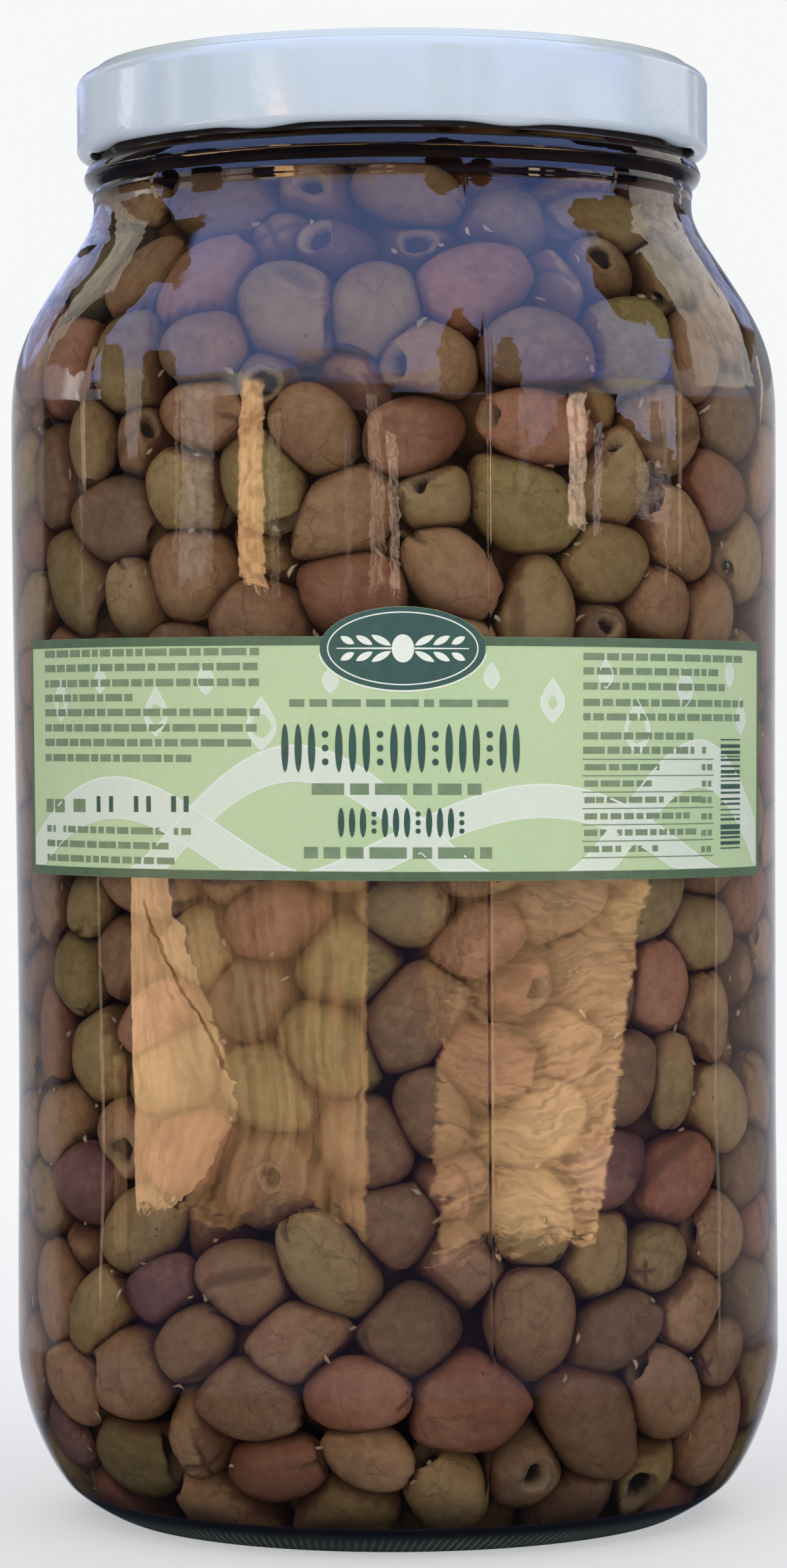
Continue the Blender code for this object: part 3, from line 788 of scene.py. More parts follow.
def make_olives():
    rng = np.random.default_rng(20)
    p, u, semi, size, depth, inward, end_on = pack_olives(rng)
    inflate = 1.145
    grown = semi * inflate
    # each olive's own axes: long axis first
    helper = rng.normal(size=p.shape)
    v = np.cross(u, helper)
    v /= np.linalg.norm(v, axis=1)[:, None]
    w = np.cross(u, v)
    frames = np.stack([u, v, w], axis=1)  # rows are the axes
    pairs = pairs_within(p, 25.5)
    i = np.concatenate([pairs[:, 0], pairs[:, 1]])
    j = np.concatenate([pairs[:, 1], pairs[:, 0]])
    gap = p[j] - p[i]
    dist = np.linalg.norm(gap, axis=1)
    n = gap / dist[:, None]

    def reach(index, direction):
        c = (direction * u[index]).sum(1) ** 2
        cross = (grown[index, 1] + grown[index, 2]) / 2
        return 1 / np.sqrt(c / grown[index, 0] ** 2 + (1 - c) / cross**2)

    ri, rj = reach(i, n), reach(j, n)
    # a little room beyond touching, as the round shapes still bulge past each other beside the line
    near = (ri + rj) * 1.10 > dist
    # the one in front, or the firmer one, keeps its round shape and presses into the other
    firm = rng.random(OLIVES)
    give = np.maximum(0, ri + rj - dist) * 0.62
    lead = np.clip((depth[j] - depth[i]) * 0.5 + (firm[i] - firm[j]) * 1.6, -give, give)
    height = np.maximum((dist * ri / (ri + rj) + lead)[near] - 0.09, 1.5)
    i, j, n = i[near], j[near], n[near]
    order = np.argsort(i, kind="stable")
    i, j, n, height = i[order], j[order], n[order], height[order]
    first = np.searchsorted(i, np.arange(OLIVES), "left")
    last = np.searchsorted(i, np.arange(OLIVES), "right")
    shares = np.cumsum([share for share, _ in KINDS.values()])
    kind = np.searchsorted(shares / shares[-1], rng.random(OLIVES))
    seeds = rng.random(OLIVES)
    outer = depth < 14.0
    has_hole = rng.random(OLIVES) < 0.85
    made = {}
    for name in KINDS:
        made[name] = {"verts": [], "quads": [], "tris": [], "local": [], "seed": [], "cut": [], "edge": [], "at": 0}
    wall_limit = 0.32
    for k in range(OLIVES):
        template = FINE if outer[k] else COARSE
        planes, heights = n[first[k]:last[k]], height[first[k]:last[k]]
        glass = (-inward[k], depth[k] - 0.2) if depth[k] < grown[k, 0] + 1.5 else None
        local, cut, edge = olive_shape(rng, template, frames[k], grown[k], planes, heights, outer[k], has_hole[k], glass)
        world = local @ frames[k] + p[k]
        name = list(KINDS)[min(kind[k], len(KINDS) - 1)]
        m = made[name]
        m["verts"].append(world)
        m["quads"].append(template[3] + m["at"])
        m["tris"].append(template[4] + m["at"])
        m["local"].append(local)
        m["cut"].append(cut)
        m["edge"].append(edge)
        m["seed"].append(np.full(len(local), seeds[k]))
        m["at"] += len(local)
    pieces = []
    for name, (_, palette) in KINDS.items():
        m = made[name]
        verts = np.concatenate(m["verts"])
        # nothing passes through the glass
        rho = np.hypot(verts[:, 0], verts[:, 1])
        dist_in, n2 = wall_distance_fast(rho, verts[:, 2])
        lack = np.maximum(0, wall_limit - dist_in)
        verts[:, :2] += (lack * n2[:, 0] / np.maximum(rho, 1e-6))[:, None] * verts[:, :2]
        verts[:, 2] += lack * n2[:, 1]
        verts[:, 2] = np.minimum(verts[:, 2], OLIVE_TOP)
        piece = mesh_object(name, verts, [np.concatenate(m["quads"]), np.concatenate(m["tris"])], olive_material(name, palette))
        attribute(piece, "local", np.concatenate(m["local"]), "FLOAT_VECTOR")
        attribute(piece, "seed", np.concatenate(m["seed"]))
        attribute(piece, "cut", np.concatenate(m["cut"]))
        attribute(piece, "edge", np.concatenate(m["edge"]))
        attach(piece, "root")
        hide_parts("contents")
        tris = 2 * len(np.concatenate(m["quads"])) + len(np.concatenate(m["tris"]))
        print("olives", name, len(m["verts"]), "triangles", tris)
        pieces.append(piece)
    make_flakes(rng, p, u, grown, inward, outer, has_hole, end_on, i, j, n, height)
    print("wall olives", int(outer.sum()), "mean squeeze", float(np.mean((ri + rj)[dist < ri + rj] - dist[dist < ri + rj])))
    return pieces


def make_flakes(rng, p, u, grown, inward, outer, has_hole, end_on, i, j, n, height):
    """Small torn bits of flesh that lie in the corners between olives and at their ends."""
    template = olive_template([20, 50, 85, 120, 155], 8)
    places = []
    both = np.nonzero(outer[i] & outer[j] & (i < j))[0]
    for k in rng.permutation(len(both))[:330]:
        q = both[k]
        middle = p[i[q]] + n[q] * height[q]
        out = -(inward[i[q]] + inward[j[q]])
        out /= np.linalg.norm(out)
        along = np.cross(out, n[q])
        places.append((middle + along * rng.uniform(-3.0, 3.0) + n[q] * rng.normal(0, 0.4), out, along, rng.uniform(0.35, 1.9)))
    ends = np.nonzero(outer & has_hole & ~end_on)[0]
    for k in rng.permutation(ends)[:120]:
        side = np.cross(u[k], inward[k])
        side /= np.linalg.norm(side)
        spot = p[k] + u[k] * grown[k, 0] * 0.97 - inward[k] * rng.uniform(0.5, 2.5) + side * rng.uniform(-2.5, 2.5)
        places.append((spot, -inward[k], u[k], rng.uniform(0.8, 2.2)))
    verts, quads, tris, seeds, at = [], [], [], [], 0
    for spot, out, other, want in places:
        for _ in range(3):
            rho = math.hypot(spot[0], spot[1])
            gap = wall_distance(np.array([rho]), np.array([spot[2]]))[0][0]
            spot = spot + out * (gap - want)
        if spot[2] > 236 or spot[2] < 6:
            continue
        a = other + 0.6 * rng.normal(size=3)
        a -= out * (a @ out) * 0.8
        a /= np.linalg.norm(a)
        b = np.cross(out, a)
        b /= np.linalg.norm(b)
        c = np.cross(a, b)
        size = np.array([rng.uniform(0.35, 1.15), rng.uniform(0.22, 0.48), rng.uniform(0.12, 0.27)])
        d = template[0] * (1 + rng.normal(0, 0.24, len(template[0])))[:, None] * size
        d[:, 1] += rng.uniform(-0.35, 0.35) * d[:, 0] ** 2
        d[:, 2] += rng.uniform(-0.25, 0.25) * d[:, 0] ** 2
        verts.append(spot + d @ np.stack([a, b, c]))
        quads.append(template[3] + at)
        tris.append(template[4] + at)
        seeds.append(np.full(len(d), rng.random()))
        at += len(d)
    verts = np.concatenate(verts)
    rho = np.hypot(verts[:, 0], verts[:, 1])
    dist_in, n2 = wall_distance_fast(rho, verts[:, 2])
    lack = np.maximum(0, 0.25 - dist_in)
    verts[:, :2] += (lack * n2[:, 0] / np.maximum(rho, 1e-6))[:, None] * verts[:, :2]
    verts[:, 2] += lack * n2[:, 1]
    m = Nodes("olive_flesh_bits")
    seed = m.node("ShaderNodeAttribute", attribute_name="seed").outputs["Fac"]
    pos = m.coords()
    tone = m.ramp(seed, [(0.0, (0.34, 0.225, 0.14)), (0.35, (0.43, 0.32, 0.225)), (0.6, (0.27, 0.15, 0.09)), (0.8, (0.38, 0.29, 0.225)), (1.0, (0.30, 0.21, 0.11))])
    tone = m.mix(m.ramp(m.noise(pos, 900.0, 3.0), [(0.4, 0.5), (0.6, 0.0)]), tone, (0.20, 0.12, 0.08))
    m.link(tone, "Base Color")
    m.link(m.bump(m.noise(pos, 1500.0, 2.0), 0.0003, 0.4), "Normal")
    m.set(Roughness=0.55)
    bits = mesh_object("olive_bits", verts, [np.concatenate(quads), np.concatenate(tris)], m.material)
    attribute(bits, "seed", np.concatenate(seeds))
    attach(bits, "root")
    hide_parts("contents")
    return bits


def wall_distance_fast(rho, z):
    out_d, out_n = np.empty(len(rho)), np.empty((len(rho), 2))
    for s in range(0, len(rho), 20000):
        d, n = wall_distance(rho[s:s + 20000], z[s:s + 20000])
        out_d[s:s + 20000], out_n[s:s + 20000] = d, n
    return out_d, out_n


# ---------------------------------------------------------------- lid
def make_lid():
    roll = arc((CURL_R, CURL_Z), CURL_HALF, 150, 360, 22)
    under = [(0, LID_UNDER_Z), (40, LID_UNDER_Z), (LID_INNER_R - 0.8, LID_UNDER_Z), (LID_INNER_R - 0.2, LID_UNDER_Z - 0.2)]
    under += [(LID_INNER_R, LID_UNDER_Z - 0.8), (LID_INNER_R, 251.5), (LID_INNER_R, CURL_Z + 1.9)]
    side_low = [(LID_R - 0.02, 247.4), (LID_R, 248.6), (LID_R, 252.0)]
    side = arc((LID_R - LID_CORNER, LID_RING_Z - 1.35 - LID_CORNER), LID_CORNER, 0, 90, 14)
    top = [(54.05, LID_RING_Z - 1.22), (53.8, LID_RING_Z - 0.9), (53.55, LID_RING_Z - 0.35), (53.2, LID_RING_Z - 0.08)]
    top += [(52.7, LID_RING_Z), (51.9, LID_RING_Z), (51.4, LID_RING_Z - 0.12), (51.0, LID_RING_Z - 0.45)]
    top += [(50.6, LID_RING_Z - 0.95), (50.1, LID_PANEL_Z), (49.0, LID_PANEL_Z - 0.05), (36, LID_PANEL_Z), (18.2, LID_PANEL_Z)]
    top += [(17.4, LID_PANEL_Z + 0.05), (16.2, LID_PANEL_Z + 0.32), (15.2, LID_PANEL_Z + 0.47), (14.2, LID_PANEL_Z + 0.5)]
    top += [(6, LID_PANEL_Z + 0.52), (0, LID_PANEL_Z + 0.52)]
    rolled = range(len(under), len(under) + len(roll) - 4)
    outline = under + roll + side_low + side + top

    def press(k, r, z, degrees):
        rr, zz = np.full(len(degrees), r), np.full(len(degrees), z)
        if k in rolled:
            step = 360.0 / LUGS
            off = (degrees - LUG_FIRST + step / 2) % step - step / 2
            depth = np.where(np.abs(off) < LUG_HALF, 0.5 + 0.5 * np.cos(math.pi * off / LUG_HALF), 0.0)
            inward = max(0.0, (CURL_R + 0.6 - r) / (CURL_HALF + 0.6))
            rr = rr - LUG_IN * depth * inward
            zz = zz - LUG_DOWN * depth * max(0.0, (CURL_Z + 0.8 - z) / 2.2)
        return rr, zz

    verts, quads, tris, _ = revolve(outline, np.linspace(0, 360, 240, endpoint=False), press)
    n = Nodes("lid_enamel")
    pos = n.coords()
    cloud = n.noise(pos, 28.0, 3.0)
    fine = n.noise(pos, 900.0, 2.0)
    colour = n.ramp(cloud, [(0.3, (0.560, 0.640, 0.745)), (0.7, (0.590, 0.668, 0.765))])
    # a few faint scuffs, more of them low on the skirt
    height = n.node("ShaderNodeSeparateXYZ", {0: pos}).outputs[2]
    low = n.ramp(n.math("MULTIPLY", n.math("SUBTRACT", height, 0.2435), 90.0), [(0.0, 1.0), (0.5, 0.25), (1.0, 0.5)])
    stretch = n.node("ShaderNodeMapping", {"Vector": pos})
    stretch.inputs["Scale"].default_value = (1.0, 1.0, 5.0)
    scuff = n.ramp(n.noise(stretch, 210.0, 5.0, 0.65), [(0.60, 0.0), (0.70, 0.35)])
    colour = n.mix(n.math("MULTIPLY", scuff, low), colour, (0.42, 0.46, 0.50))
    # the top panel tinted warmer to take out the blue that it mirrors from above: painted, to offset reflected light,
    # not a colour of the enamel
    colour = n.mix(n.ramp(n.math("MULTIPLY", height, 3.0), [(0.7725, 0.0), (0.7755, 1.0)]), colour, (1.0, 0.975, 0.86), "MULTIPLY")
    n.link(colour, "Base Color")
    n.link(n.ramp(n.noise(pos, 60.0, 3.0), [(0.3, 0.09), (0.7, 0.16)]), "Roughness")
    peel = n.math("ADD", n.noise(pos, 420.0, 2.0), n.math("MULTIPLY", fine, 0.2))
    n.link(n.bump(peel, 0.00022, 0.22), "Normal")
    n.set(IOR=1.5)
    lid = mesh_object("lid_cap", verts, [quads, tris], n.material, sharp=45)
    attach(lid, "root")
    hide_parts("lid")
    return lid


# ---------------------------------------------------------------- label
def on_label(degrees, z, off):
    """A point on the label, out from the glass by off."""
    a = np.radians(np.asarray(degrees, float))
    z = np.asarray(z, float)
    r = body_radius(z) + 0.20 + off  # clear of the glass's waves and its parting line
    drop = math.tan(math.radians(LABEL_SKEW)) * WAIST_R * np.sin(a)
    return np.stack(np.broadcast_arrays(r * np.sin(a), -r * np.cos(a), z - drop), axis=-1)


def from_photo(x, y):
    """Degrees and height on the label at a pixel of the photo, by casting a ray at the body."""
    ray = CAM_TURN @ Vector(((x - IMAGE_W / 2) / FOCAL_PX, -(y - IMAGE_H / 2) / FOCAL_PX, -1.0))
    at = Vector((CAM_X, -CAM_D, CAM_Z))
    r = WAIST_R + 0.3
    a = ray.x**2 + ray.y**2
    b = 2 * (at.x * ray.x + at.y * ray.y)
    c = at.x**2 + at.y**2 - r * r
    root = max(0.0, b * b - 4 * a * c)
    hit = at + ray * ((-b - math.sqrt(root)) / (2 * a))
    degrees = math.degrees(math.atan2(hit.x, -hit.y))
    return degrees, hit.z + math.tan(math.radians(LABEL_SKEW)) * WAIST_R * math.sin(math.radians(degrees))


PER_MM = math.degrees(1.0 / 68.7)  # degrees along the label for each millimetre


class Print:
    """Flat marks on the label, gathered into one mesh of thin solids that follows the glass."""

    def __init__(self, name, off, material):
        self.name, self.off, self.material = name, off, material
        self.verts, self.quads, self.at = [], [], 0

    def strip(self, degrees, low, high):
        """A mark between a lower and an upper line, given at the same angles."""
        degrees, low, high = (np.asarray(x, float) for x in (degrees, low, high))
        n = len(degrees)
        self.verts += [on_label(degrees, low, self.off), on_label(degrees, high, self.off)]
        k = np.arange(n - 1)
        self.quads.append(np.column_stack([k, k + 1, k + 1 + n, k + n]) + self.at)
        self.at += 2 * n

    def bar(self, left, right, low, high):
        steps = max(1, int(abs(right - left) / 2.0))
        degrees = np.linspace(left, right, steps + 1)
        self.strip(degrees, np.full(steps + 1, low), np.full(steps + 1, high))

    def lens(self, x, z, length, width, tilt, steps=14, sharp=1.0):
        """A pointed oval, tilted in degrees, built across its long axis."""
        t = np.linspace(-1, 1, steps + 1)
        half = width / 2 * (1 - t * t) ** sharp
        ca, sa = math.cos(math.radians(tilt)), math.sin(math.radians(tilt))
        along = t * length / 2
        for sign in (1,):
            upper = np.column_stack([along * ca - half * sa, along * sa + half * ca])
            lower = np.column_stack([along * ca + half * sa, along * sa - half * ca])
            n = steps + 1
            self.verts += [
                on_label(x + lower[:, 0] * PER_MM, z + lower[:, 1], self.off),
                on_label(x + upper[:, 0] * PER_MM, z + upper[:, 1], self.off),
            ]
            k = np.arange(n - 1)
            self.quads.append(np.column_stack([k, k + 1, k + 1 + n, k + n]) + self.at)
            self.at += 2 * n

    def line(self, points, width):
        """A stroke through points (degrees, z), with one width or one for each point."""
        p = np.array(points, float)
        q = np.column_stack([p[:, 0] / PER_MM, p[:, 1]])
        d = np.gradient(q, axis=0)
        d /= np.maximum(np.hypot(d[:, 0], d[:, 1]), 1e-9)[:, None]
        side = np.column_stack([-d[:, 1], d[:, 0]]) * (np.asarray(width, float) / 2 * np.ones(len(p)))[:, None]
        a, b = q + side, q - side
        n = len(p)
        self.verts += [on_label(b[:, 0] * PER_MM, b[:, 1], self.off), on_label(a[:, 0] * PER_MM, a[:, 1], self.off)]
        k = np.arange(n - 1)
        self.quads.append(np.column_stack([k, k + 1, k + 1 + n, k + n]) + self.at)
        self.at += 2 * n

    def words(self, rng, left, right, low, high, short=2.0, long=6.5, gap=0.8, fill=1.0):
        """A row of plain dashes with the rhythm of words, in millimetres along the label."""
        at, end = left, left + (right - left) * fill
        while at < end - short * PER_MM:
            length = rng.uniform(short, long) * PER_MM
            stop = min(at + length, end)
            self.bar(at, stop, low, high)
            at = stop + gap * PER_MM

    def done(self):
        """Closes each mark into a thin solid that reaches down into the paper."""
        mark = np.concatenate([np.full(q.max() - q.min() + 1, k) for k, q in enumerate(self.quads)])
        verts, quads = np.concatenate(self.verts), np.concatenate(self.quads)
        # one point where the two lines of a mark meet, and where a ring closes
        key = np.column_stack([mark, np.round(verts / 1e-4)])
        _, first, same = np.unique(key, axis=0, return_index=True, return_inverse=True)
        verts, quads = verts[first], same.ravel()[quads]
        meets = quads == np.roll(quads, -1, axis=1)
        tris = [np.delete(quads[meets[:, k] & (meets.sum(1) == 1)], k, axis=1) for k in range(4)]
        quads, tris = quads[~meets.any(1)], np.concatenate(tris)
        edges = np.concatenate([np.column_stack([f[:, k], np.roll(f, -1, axis=1)[:, k]]) for f in (quads, tris) for k in range(f.shape[1])])
        known = set(map(tuple, edges.tolist()))
        rim = np.array([e for e in edges.tolist() if (e[1], e[0]) not in known])
        sunk = verts.copy()
        sunk[:, :2] *= 1 - (self.off - 0.05) / np.hypot(verts[:, 0], verts[:, 1])[:, None]
        n = len(verts)
        walls = np.column_stack([rim[:, 1], rim[:, 0], rim[:, 0] + n, rim[:, 1] + n])
        polys = [quads, quads[:, ::-1] + n, walls, tris, tris[:, ::-1] + n]
        piece = mesh_object(self.name, np.concatenate([verts, sunk]), polys, self.material, sharp=50)
        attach(piece, "root")
        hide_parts("label")
        return piece


def ink(name, colour, second, rough=0.42):
    """Printing ink on coated paper: slightly uneven, with the paper's grain under it."""
    n = Nodes(name)
    pos = n.coords()
    n.link(n.ramp(n.noise(pos, 420.0, 4.0, 0.65), [(0.35, colour), (0.65, second)]), "Base Color")
    n.link(n.bump(n.noise(pos, 1500.0, 3.0), 0.00005, 0.3), "Normal")
    n.set(Roughness=rough, IOR=1.45)
    return n.material


def label_edges():
    inner = [BADGE_AT + BADGE_HALF * math.sin(t) for t in np.linspace(-math.pi / 2, math.pi / 2, 41)]
    degrees = np.unique(np.round(np.concatenate([np.linspace(-LABEL_HALF, LABEL_HALF, 109), inner]), 4))
    off = (degrees - BADGE_AT) / BADGE_HALF
    crest = BADGE_Z + BADGE_TALL * np.sqrt(np.clip(1 - off * off, 0, 1))
    return degrees, np.where(np.abs(off) < 1, np.maximum(LABEL_TOP_Z, crest), LABEL_TOP_Z)


def make_label():
    degrees, top = label_edges()
    # paper: a closed thin sheet, front face divided so that it follows the glass
    rows = 14
    n = len(degrees)
    share = np.linspace(0, 1, rows + 1)
    z = LABEL_LOW_Z + (top - LABEL_LOW_Z)[None, :] * share[:, None]
    front = on_label(np.broadcast_to(degrees, z.shape), z, 0.10)
    back = on_label(np.broadcast_to(degrees, z.shape), z, 0.0)
    verts = np.concatenate([front.reshape(-1, 3), back.reshape(-1, 3)])
    index = np.arange((rows + 1) * n).reshape(rows + 1, n)
    a, b, c, d = index[:-1, :-1], index[:-1, 1:], index[1:, 1:], index[1:, :-1]
    quads = [np.column_stack([a.ravel(), b.ravel(), c.ravel(), d.ravel()])]
    o = (rows + 1) * n
    quads.append(np.column_stack([d.ravel(), c.ravel(), b.ravel(), a.ravel()]) + o)
    for edge, flip in ((index[0], False), (index[-1], True), (index[:, 0], True), (index[:, -1], False)):
        e = edge[::-1] if flip else edge
        quads.append(np.column_stack([e[:-1], e[:-1] + o, e[1:] + o, e[1:]]))
    paper = Nodes("label_paper")
    pos = paper.coords()
    cloud = paper.noise(pos, 30.0, 3.0)
    grain = paper.noise(pos, 900.0, 4.0, 0.7)
    colour = paper.ramp(cloud, [(0.3, (0.485, 0.625, 0.365)), (0.7, (0.535, 0.662, 0.392))])
    colour = paper.mix(paper.ramp(grain, [(0.3, 0.35), (0.6, 0.0)]), colour, (0.82, 0.86, 0.80), "MULTIPLY")
    paper.link(colour, "Base Color")
    ripple = paper.node("ShaderNodeMapping", {"Vector": pos})
    ripple.inputs["Scale"].default_value = (1.0, 1.0, 0.25)
    relief = paper.math("ADD", paper.math("MULTIPLY", paper.noise(ripple, 90.0, 2.0), 1.0), paper.math("MULTIPLY", grain, 0.05))
    paper.link(paper.bump(relief, 0.0006, 0.25), "Normal")
    paper.set(Roughness=0.45, IOR=1.45)
    sheet = mesh_object("label_sheet", verts, quads, paper.material, sharp=50)
    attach(sheet, "root")
    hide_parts("label")

    rng = np.random.default_rng(5)
    dark = Print("label_bands", 0.15, ink("ink_dark", (0.062, 0.120, 0.062), (0.080, 0.145, 0.078)))
    badge = Print("label_crest", 0.165, ink("ink_crest", (0.030, 0.085, 0.070), (0.040, 0.105, 0.085)))
    words = Print("label_dashes", 0.15, ink("ink_small", (0.155, 0.235, 0.135), (0.20, 0.28, 0.165)))
    bold = Print("label_ornament", 0.155, ink("ink_bold", (0.022, 0.075, 0.055), (0.035, 0.095, 0.07)))
    pale = Print("label_pale", 0.125, ink("ink_pale", (0.66, 0.735, 0.615), (0.69, 0.755, 0.655)))
    paler = Print("label_paler", 0.135, ink("ink_paler", (0.74, 0.80, 0.72), (0.77, 0.82, 0.77)))
    white = Print("label_white", 0.18, ink("ink_white", (0.80, 0.85, 0.74), (0.86, 0.89, 0.80)))

    # bands along both edges, going over the crest, and a thin line down each end
    band = 1.5
    dark.strip(degrees, np.full(n, LABEL_LOW_Z + 0.02), np.full(n, LABEL_LOW_Z + band))
    dark.strip(degrees, np.full(n, LABEL_TOP_Z - band), np.minimum(top, LABEL_TOP_Z) - 0.02)
    for end in (-1, 1):
        edge = end * (LABEL_HALF - 0.02)
        dark.bar(min(edge, edge - end * 0.75), max(edge, edge - end * 0.75), LABEL_LOW_Z, LABEL_TOP_Z)
    # the crest: a plain oval with a fine pale line round it
    t = np.linspace(-math.pi / 2, math.pi / 2, 61)
    across, half = np.sin(t), np.cos(t)
    badge.strip(BADGE_AT + (BADGE_HALF - 0.05) * across, BADGE_Z - (BADGE_TALL - 0.05) * half, BADGE_Z + (BADGE_TALL - 0.05) * half)
    below = np.linspace(math.pi * 1.04, math.pi * 1.96, 61)
    pale_line = np.column_stack([BADGE_AT + (BADGE_HALF + 0.12) * np.cos(below), BADGE_Z + (BADGE_TALL + 0.12) * np.sin(below)])
    white.line(pale_line, 0.28)
    round_it = np.linspace(0, 2 * math.pi, 73)
    white.line(np.column_stack([BADGE_AT + (BADGE_HALF - 1.15) * np.cos(round_it), BADGE_Z + (BADGE_TALL - 0.95) * np.sin(round_it)]), 0.22)
    # a plain sprig in the oval: a row of paired leaves with a round fruit in the middle
    for side in (-1, 1):
        for k in range(3):
            x = BADGE_AT + side * (3.0 + 2.35 * k) / 1.0
            reach = 3.7 - 0.55 * k
            white.lens(x, BADGE_Z + 1.35, reach, 1.15, side * 28, sharp=0.9)
            white.lens(x, BADGE_Z - 1.35, reach, 1.15, -side * 28, sharp=0.9)
        white.line([(BADGE_AT + side * s, BADGE_Z) for s in np.linspace(1.6, 9.2, 6)], np.linspace(0.32, 0.16, 6))
    fruit = np.linspace(-math.pi / 2, math.pi / 2, 25)
    white.strip(BADGE_AT + 1.55 * np.sin(fruit), BADGE_Z - 2.35 * np.cos(fruit), BADGE_Z + 2.35 * np.cos(fruit))

    make_label_print(rng, dark, words, bold, pale, paler, white)
    for p in (dark, badge, words, bold, pale, paler, white):
        p.done()
    return sheet


def make_label_print(rng, dark, words, bold, pale, paler, white):
    """Rows of plain dashes where reading matter would be, ornament rows in the middle and pale hills and drops behind."""

    def row(x0, x1, y, tall, **more):
        d0, z = from_photo(x0, y)
        d1, _ = from_photo(x1, y)
        words.words(rng, d0, d1, z - tall / 2, z + tall / 2, **more)

    # left block
    for y, stop in ((998, 396), (1020, 394), (1043, 396), (1065, 204), (1087, 397), (1110, 396), (1132, 394), (1155, 296)):
        row(72, stop, y, 1.25, short=1.4, long=4.6, gap=0.62)
    for x0, x1 in ((73, 108), (114, 134)):
        row(x0, x1, 1228, 2.3, short=2.0, long=5.0, gap=0.7)
    for y, stop in ((1263, 292), (1285, 258), (1307, 268)):
        row(74, stop, y, 1.15, short=1.4, long=5.2, gap=0.65)
    for k in range(8):
        if k in (2, 5):
            continue
        x = 152 + 19 * k
        d, z = from_photo(x, 1226)
        bold.bar(d - 0.42, d + 0.42, z - 1.35, z + 1.35)
    # right block
    for y, x0, x1 in ((1001, 888, 1128), (1023, 888, 1096), (1046, 888, 1102), (1071, 888, 1132), (1093, 888, 1130), (1122, 888, 1058), (1144, 888, 1082)):
        row(x0, x1, y, 1.2, short=1.3, long=4.4, gap=0.6)
    # a plain ruled table
    lines = [1158, 1183, 1208, 1233, 1258, 1283, 1308]
    for y in lines:
        (d0, z), (d1, _) = from_photo(887, y), from_photo(1086, y)
        words.bar(d0, d1, z - 0.1, z + 0.1)
    for y, stop in zip([a + 12 for a in lines], (1010, 1000, 1068, 1050, 1060, 1010, 968)):
        if y < 1318:
            row(890, stop, y, 1.05, short=1.3, long=4.6, gap=0.6)
            row(1068, 1084, y, 1.05, short=1.0, long=1.6, gap=0.5)
    # a block of plain stripes
    (d0, _), (d1, _) = from_photo(1097, 1200), from_photo(1126, 1200)
    y = 1127.0
    while y < 1293:
        tall = rng.choice([2.0, 3.5, 5.5, 7.5], p=[0.4, 0.3, 0.2, 0.1])
        _, high = from_photo(1110, y)
        _, low = from_photo(1110, y + tall)
        bold.bar(d0, d1, low, high)
        y += tall + rng.choice([2.5, 4.0, 6.0])

    # middle: rows of tall narrow lozenges and dashes
    def lozenges(x0, x1, y0, y1, width, step, dot):
        (d0, z1), (d1, _) = from_photo(x0, y0), from_photo(x1, y0)
        _, z0 = from_photo(x0, y1)
        count = int(round((d1 - d0) / PER_MM / step))
        for k in range(count):
            d = d0 + (d1 - d0) * (k + 0.5) / count
            if k % 4 == 3:
                for part in (0.22, 0.5, 0.78):
                    bold.lens(d, z0 + (z1 - z0) * part, dot, dot, 0, steps=10, sharp=0.5)
            else:
                bold.lens(d, (z0 + z1) / 2, z1 - z0, width, 90, steps=16, sharp=0.55)

    row(442, 774, 1072, 1.25, short=1.6, long=5.5, gap=0.9)
    lozenges(425, 796, 1103, 1178, 1.25, 2.28, 1.15)
    row(476, 748, 1203, 1.9, short=2.2, long=7.0, gap=1.0)
    lozenges(512, 712, 1231, 1277, 1.05, 1.86, 0.9)
    row(464, 758, 1300, 1.9, short=2.0, long=7.0, gap=1.0)

    # behind: low hills and falling drops
    def hill(centre, half, low, tall, hollow, into):
        t = np.linspace(-1, 1, 49)
        d = centre + half * t
        crest = low + tall * np.cos(t * math.pi / 2) ** 1.3
        inside_ends = (d > -LABEL_HALF + 0.9) & (d < LABEL_HALF - 0.9)
        into.strip(d[inside_ends], np.maximum(low, crest - hollow)[inside_ends], crest[inside_ends])

    base = LABEL_LOW_Z + 1.6
    for centre, half, tall, hollow in ((-44, 30, 15.5, 7.0), (-14, 27, 21.0, 6.0), (21, 33, 14.5, 5.5), (49, 24, 22.0, 8.0)):
        hill(centre, half, base, tall, hollow, pale)
        t = np.linspace(-1, 1, 49)
        d = centre + half * t
        keep = (d > -LABEL_HALF + 0.9) & (d < LABEL_HALF - 0.9)
        crest = base + tall * np.cos(t * math.pi / 2) ** 1.3
        paler.line(np.column_stack([d, crest])[keep], 0.32)
        paler.line(np.column_stack([d, np.maximum(base + 0.2, crest - hollow)])[keep], 0.2)

    def drop(x, z, tall):
        """A drop: pointed at the top, round below."""
        t = np.linspace(0, 1, 22)
        half = 0.30 * tall * np.sin(math.pi * t) * (1 - 0.55 * t) ** 0.9 * 1.25
        high = z - tall / 2 + tall * t
        right, left = np.column_stack([x + half * PER_MM, high]), np.column_stack([x - half * PER_MM, high])
        v = np.concatenate([on_label(left[:, 0], left[:, 1], pale.off), on_label(right[:, 0], right[:, 1], pale.off)])
        k = np.arange(21)
        pale.verts.append(v)
        pale.quads.append(np.column_stack([k, k + 22, k + 23, k + 1]) + pale.at)
        pale.at += 44
        outline = np.concatenate([left, right[::-1]])
        paler.line(outline, 0.2)

